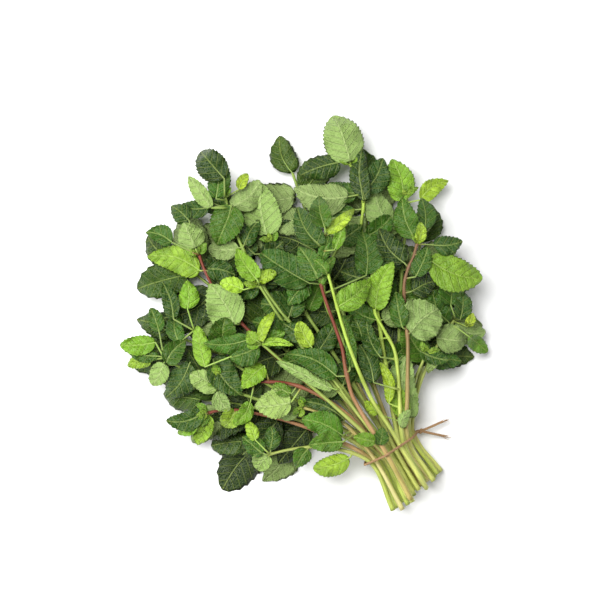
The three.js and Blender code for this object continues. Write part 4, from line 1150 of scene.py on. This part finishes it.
def add_bud(basket, shoot, size):
    last, before = shoot["stations"][-1], shoot["stations"][-2]
    heading = math.atan2(*(last - before)[1::-1])
    for pair in range(BUD_PAIRS):
        length = size * (11 - 2.6 * pair)
        for hand in (-1, 1):
            key = shoot["key"] + 0.31 * pair + 0.17 * hand + 100
            angle = heading + hand * (0.9 - 0.2 * pair) + (1.5 if pair % 2 else 0.2) * (chance(key) - 0.5)
            forward = np.array([math.cos(angle), math.sin(angle)])
            base = last[:2] + forward * 0.6
            lift = 1.2 + 0.9 * pair
            rungs = [(*base, 0.4, 0.0), (*(base + forward * length * 0.5), 2, length * 0.5),
                     (*(base + forward * length), 0.3, length)]
            leaf = {
                "rungs": rungs, "heights": [last[2] + lift, last[2] + lift + 0.30 * length,
                                            last[2] + lift + (0.28 + 0.12 * pair) * length],
                "side": np.array([-forward[1], forward[0]]), "forward": forward, "base": base,
                "blade": length, "stalk": 0.0, "width": length * 0.55, "face": 0, "key": key,
                "tone": 1.7 + 0.4 * pair, "roll": 0.1 * hand, "fold": 0.35,
            }
            add_blade(basket, leaf)


# %% Building every shoot
BARE_TIPS = 0.35         # share of the shoots that show and have no bud
count_pieces = 0
for shoot in shoots:
    stem = Basket()
    add_stem(stem, shoot)
    stem.piece(shoot["name"] + "_stem", stem_material, "mint_stem", shoot["name"])
    count_pieces += 1
    if shoot["leaves"]:
        blades = Basket()
        hidden = shoot["name"].startswith("under")
        # Leaves of the hidden shoots get a plainer grid and painted shade.
        for leaf in shoot["leaves"]:
            add_blade(blades, leaf, fine=not hidden)
        if not hidden and chance(shoot["key"] + 0.2) > BARE_TIPS:
            add_bud(blades, shoot, 0.6 + 0.35 * chance(shoot["key"] + 0.8))
        young = shoot["name"] in ("sprig_bright_tuft", "sprig_left_tuft", "sprig_light_stem")
        slot = "young_leaf" if young else "mint_leaf"
        blades.piece(shoot["name"] + "_leaves", leaf_material, slot, shoot["name"])
        count_pieces += 1
for k, leaf in enumerate(loose):
    blades = Basket()
    add_blade(blades, leaf)
    blades.piece(f"loose_leaf_{k + 1}_blade", leaf_material, "mint_leaf", f"loose_leaf_{k + 1}")
    count_pieces += 1
print(count_pieces, "pieces of mint")

# %% [markdown]
# ## The twine
# The tie is one turn of three-ply jute. A plain tube would look like wire, so three strands are
# wound round each other along the line of the twine, each with its own fibres.
# The line itself is found as the solid model finds it: the turn is pulled tight, so on each side it
# touches only the stem that reaches furthest that way.

# %% The line of the loop
def crossing(stations, y):
    i = next(i for i, s in enumerate(stations) if s[1] > y)
    here, there = stations[i - 1], stations[i]
    s = (y - here[1]) / (there[1] - here[1])
    return np.array([here[0] + (there[0] - here[0]) * s, here[2] + (there[2] - here[2]) * s])


tied = [crossing(s["stations"], y) for s in shoots for y in (-TWINE_RADIUS, 0, TWINE_RADIUS)]
STEMS_OUT = STEM_RADIUS + CLEARANCE + TWINE_RADIUS


def loop_point(out):
    held = max(tied, key=lambda stem: float(stem @ out))
    return held + out * STEMS_OUT


TURNS = 16
LOOP_FLAT = 0.15         # mm that the twine may cut a corner by
corners = [loop_point(np.array([math.cos(a), math.sin(a)])) for a in 2 * np.pi * np.arange(TURNS) / TURNS]


def loop_stretch(here, there):
    ahead = (there - here) / np.linalg.norm(there - here)
    middle = loop_point(np.array([ahead[1], -ahead[0]]))
    if (middle - here) @ np.array([ahead[1], -ahead[0]]) < LOOP_FLAT:
        return [here]
    return loop_stretch(here, middle) + loop_stretch(middle, there)


loop = []
for k in range(TURNS):
    loop += loop_stretch(corners[k], corners[(k + 1) % TURNS])
loop = np.array([[p[0], 0, p[1]] for p in loop])
knot_at = np.array([corners[0][0] + KNOT_RADIUS * 0.6, -1, corners[0][1]])
around = float(np.sum(np.linalg.norm(loop - np.roll(loop, -1, axis=0), axis=1)))
print("one turn is", round(around), "mm, two ends of", TAIL_LENGTH, "mm")


# %% Strands wound round a line
def resampled(line, gap, closed=False):
    line = np.asarray(line, dtype=float)
    if closed:
        line = np.concatenate([line, line[:1]])
    runs = np.concatenate([[0], np.cumsum(np.linalg.norm(np.diff(line, axis=0), axis=1))])
    at = np.linspace(0, runs[-1], max(3, round(runs[-1] / gap) + 1))
    return np.stack([np.interp(at, runs, line[:, k]) for k in range(3)], axis=1)


def strand_lines(line, lay=5.5, offset=0.42):
    """Three helical lines round one line."""
    ahead = np.gradient(line, axis=0)
    ahead /= np.linalg.norm(ahead, axis=1)[:, None]
    across = np.cross(ahead, [0.13, 0.97, 0.2])
    across /= np.linalg.norm(across, axis=1)[:, None]
    rise = np.cross(ahead, across)
    runs = np.concatenate([[0], np.cumsum(np.linalg.norm(np.diff(line, axis=0), axis=1))])
    for strand in range(3):
        angle = 2 * np.pi * (runs / lay + strand / 3)
        yield line + offset * (np.cos(angle)[:, None] * across + np.sin(angle)[:, None] * rise)


def add_twine(basket, line, key, tint):
    for number, centre in enumerate(strand_lines(line)):
        ripple = 0.50 + 0.03 * np.sin(np.arange(len(centre)) * 1.7 + number)
        rings = tube_rings(centre, ripple, sides=8)
        add_tube(basket, rings, np.broadcast_to(tint, (len(centre), 3)), chance(key + number), name="twine")


# %% [markdown]
# The finish of jute is fibre: fine streaks that run along each strand, some pale and some brown,
# with a dry, dull surface and a few loose hairs.

# %% Twine finish
jute = Finish("jute_twine")
run, turn, strand = jute.parts(jute.mark("twine_place").pick("Vector"))
jute_tint = jute.mark("twine_tint").pick("Vector")
fibre_spot = jute.point(run * 0.22 + turn * 1.5, turn * 7, strand * 29)
fibres = jute.noise(fibre_spot, 2.4, 5, 0.7)
patches = jute.noise(fibre_spot, 0.35, 2)
dark_fibre = jute.mix(1.0, jute_tint, (0.42, 0.36, 0.32), "MULTIPLY")
pale_fibre = jute.mix(1.0, jute_tint, (1.45, 1.42, 1.40), "MULTIPLY")
jute_colour = jute.mix((fibres * 1.7 + patches * 0.4 - 0.6).clamped(), dark_fibre, pale_fibre)
jute_material = jute.finish(jute_colour, 0.82 + fibres * 0.12, fibres, 0.0005, 1.0, Specular_IOR_Level=0.2)

# %% Loop, knot and two ends
JUTE = np.array(paint(178, 146, 108))
twine = Basket()
add_twine(twine, resampled(loop, 0.7, closed=True), 200, JUTE)
t = np.linspace(0, 2 * np.pi, 90)
knot_line = [np.sin(t) + 2 * np.sin(2 * t), -1.3 * np.sin(3 * t), np.cos(t) - 2 * np.cos(2 * t)]
add_twine(twine, knot_at + np.stack(knot_line, axis=1) * 0.58, 210, JUTE)
for number, (way_turn, drop) in enumerate([(-0.12, -1.5), (-0.75, -4)]):
    out = np.array([math.cos(way_turn), math.sin(way_turn), 0])
    end = knot_at + out * TAIL_LENGTH + np.array([0, 0, drop])
    middle = (knot_at + end) / 2 + np.array([0, 0, 1.5])
    bend = [between([knot_at, middle, end], s) for s in np.linspace(0, 2, 40)]
    add_twine(twine, resampled(bend, 0.6), 220 + number * 5, JUTE * (1.1 - 0.1 * number))
    for fibre in range(9):
        key = 240 + number * 20 + fibre
        spread = np.array([chance(key) - 0.5, chance(key + 0.2) - 0.5, chance(key + 0.4) - 0.5])
        tip = end + out * (2.5 + 2.5 * chance(key + 0.6)) + spread * 3.4
        start = end - out * 1.0 + spread * 0.8
        hair = [start + (tip - start) * s + spread * 1.2 * math.sin(3 * s) for s in np.linspace(0, 1, 6)]
        rings = tube_rings(hair, np.linspace(0.2, 0.06, 6), sides=5)
        add_tube(twine, rings, np.broadcast_to(JUTE * 1.2, (6, 3)), chance(key), name="twine")
twine.piece("twine_wound", jute_material, "twine", "twine")
print("twine wound")
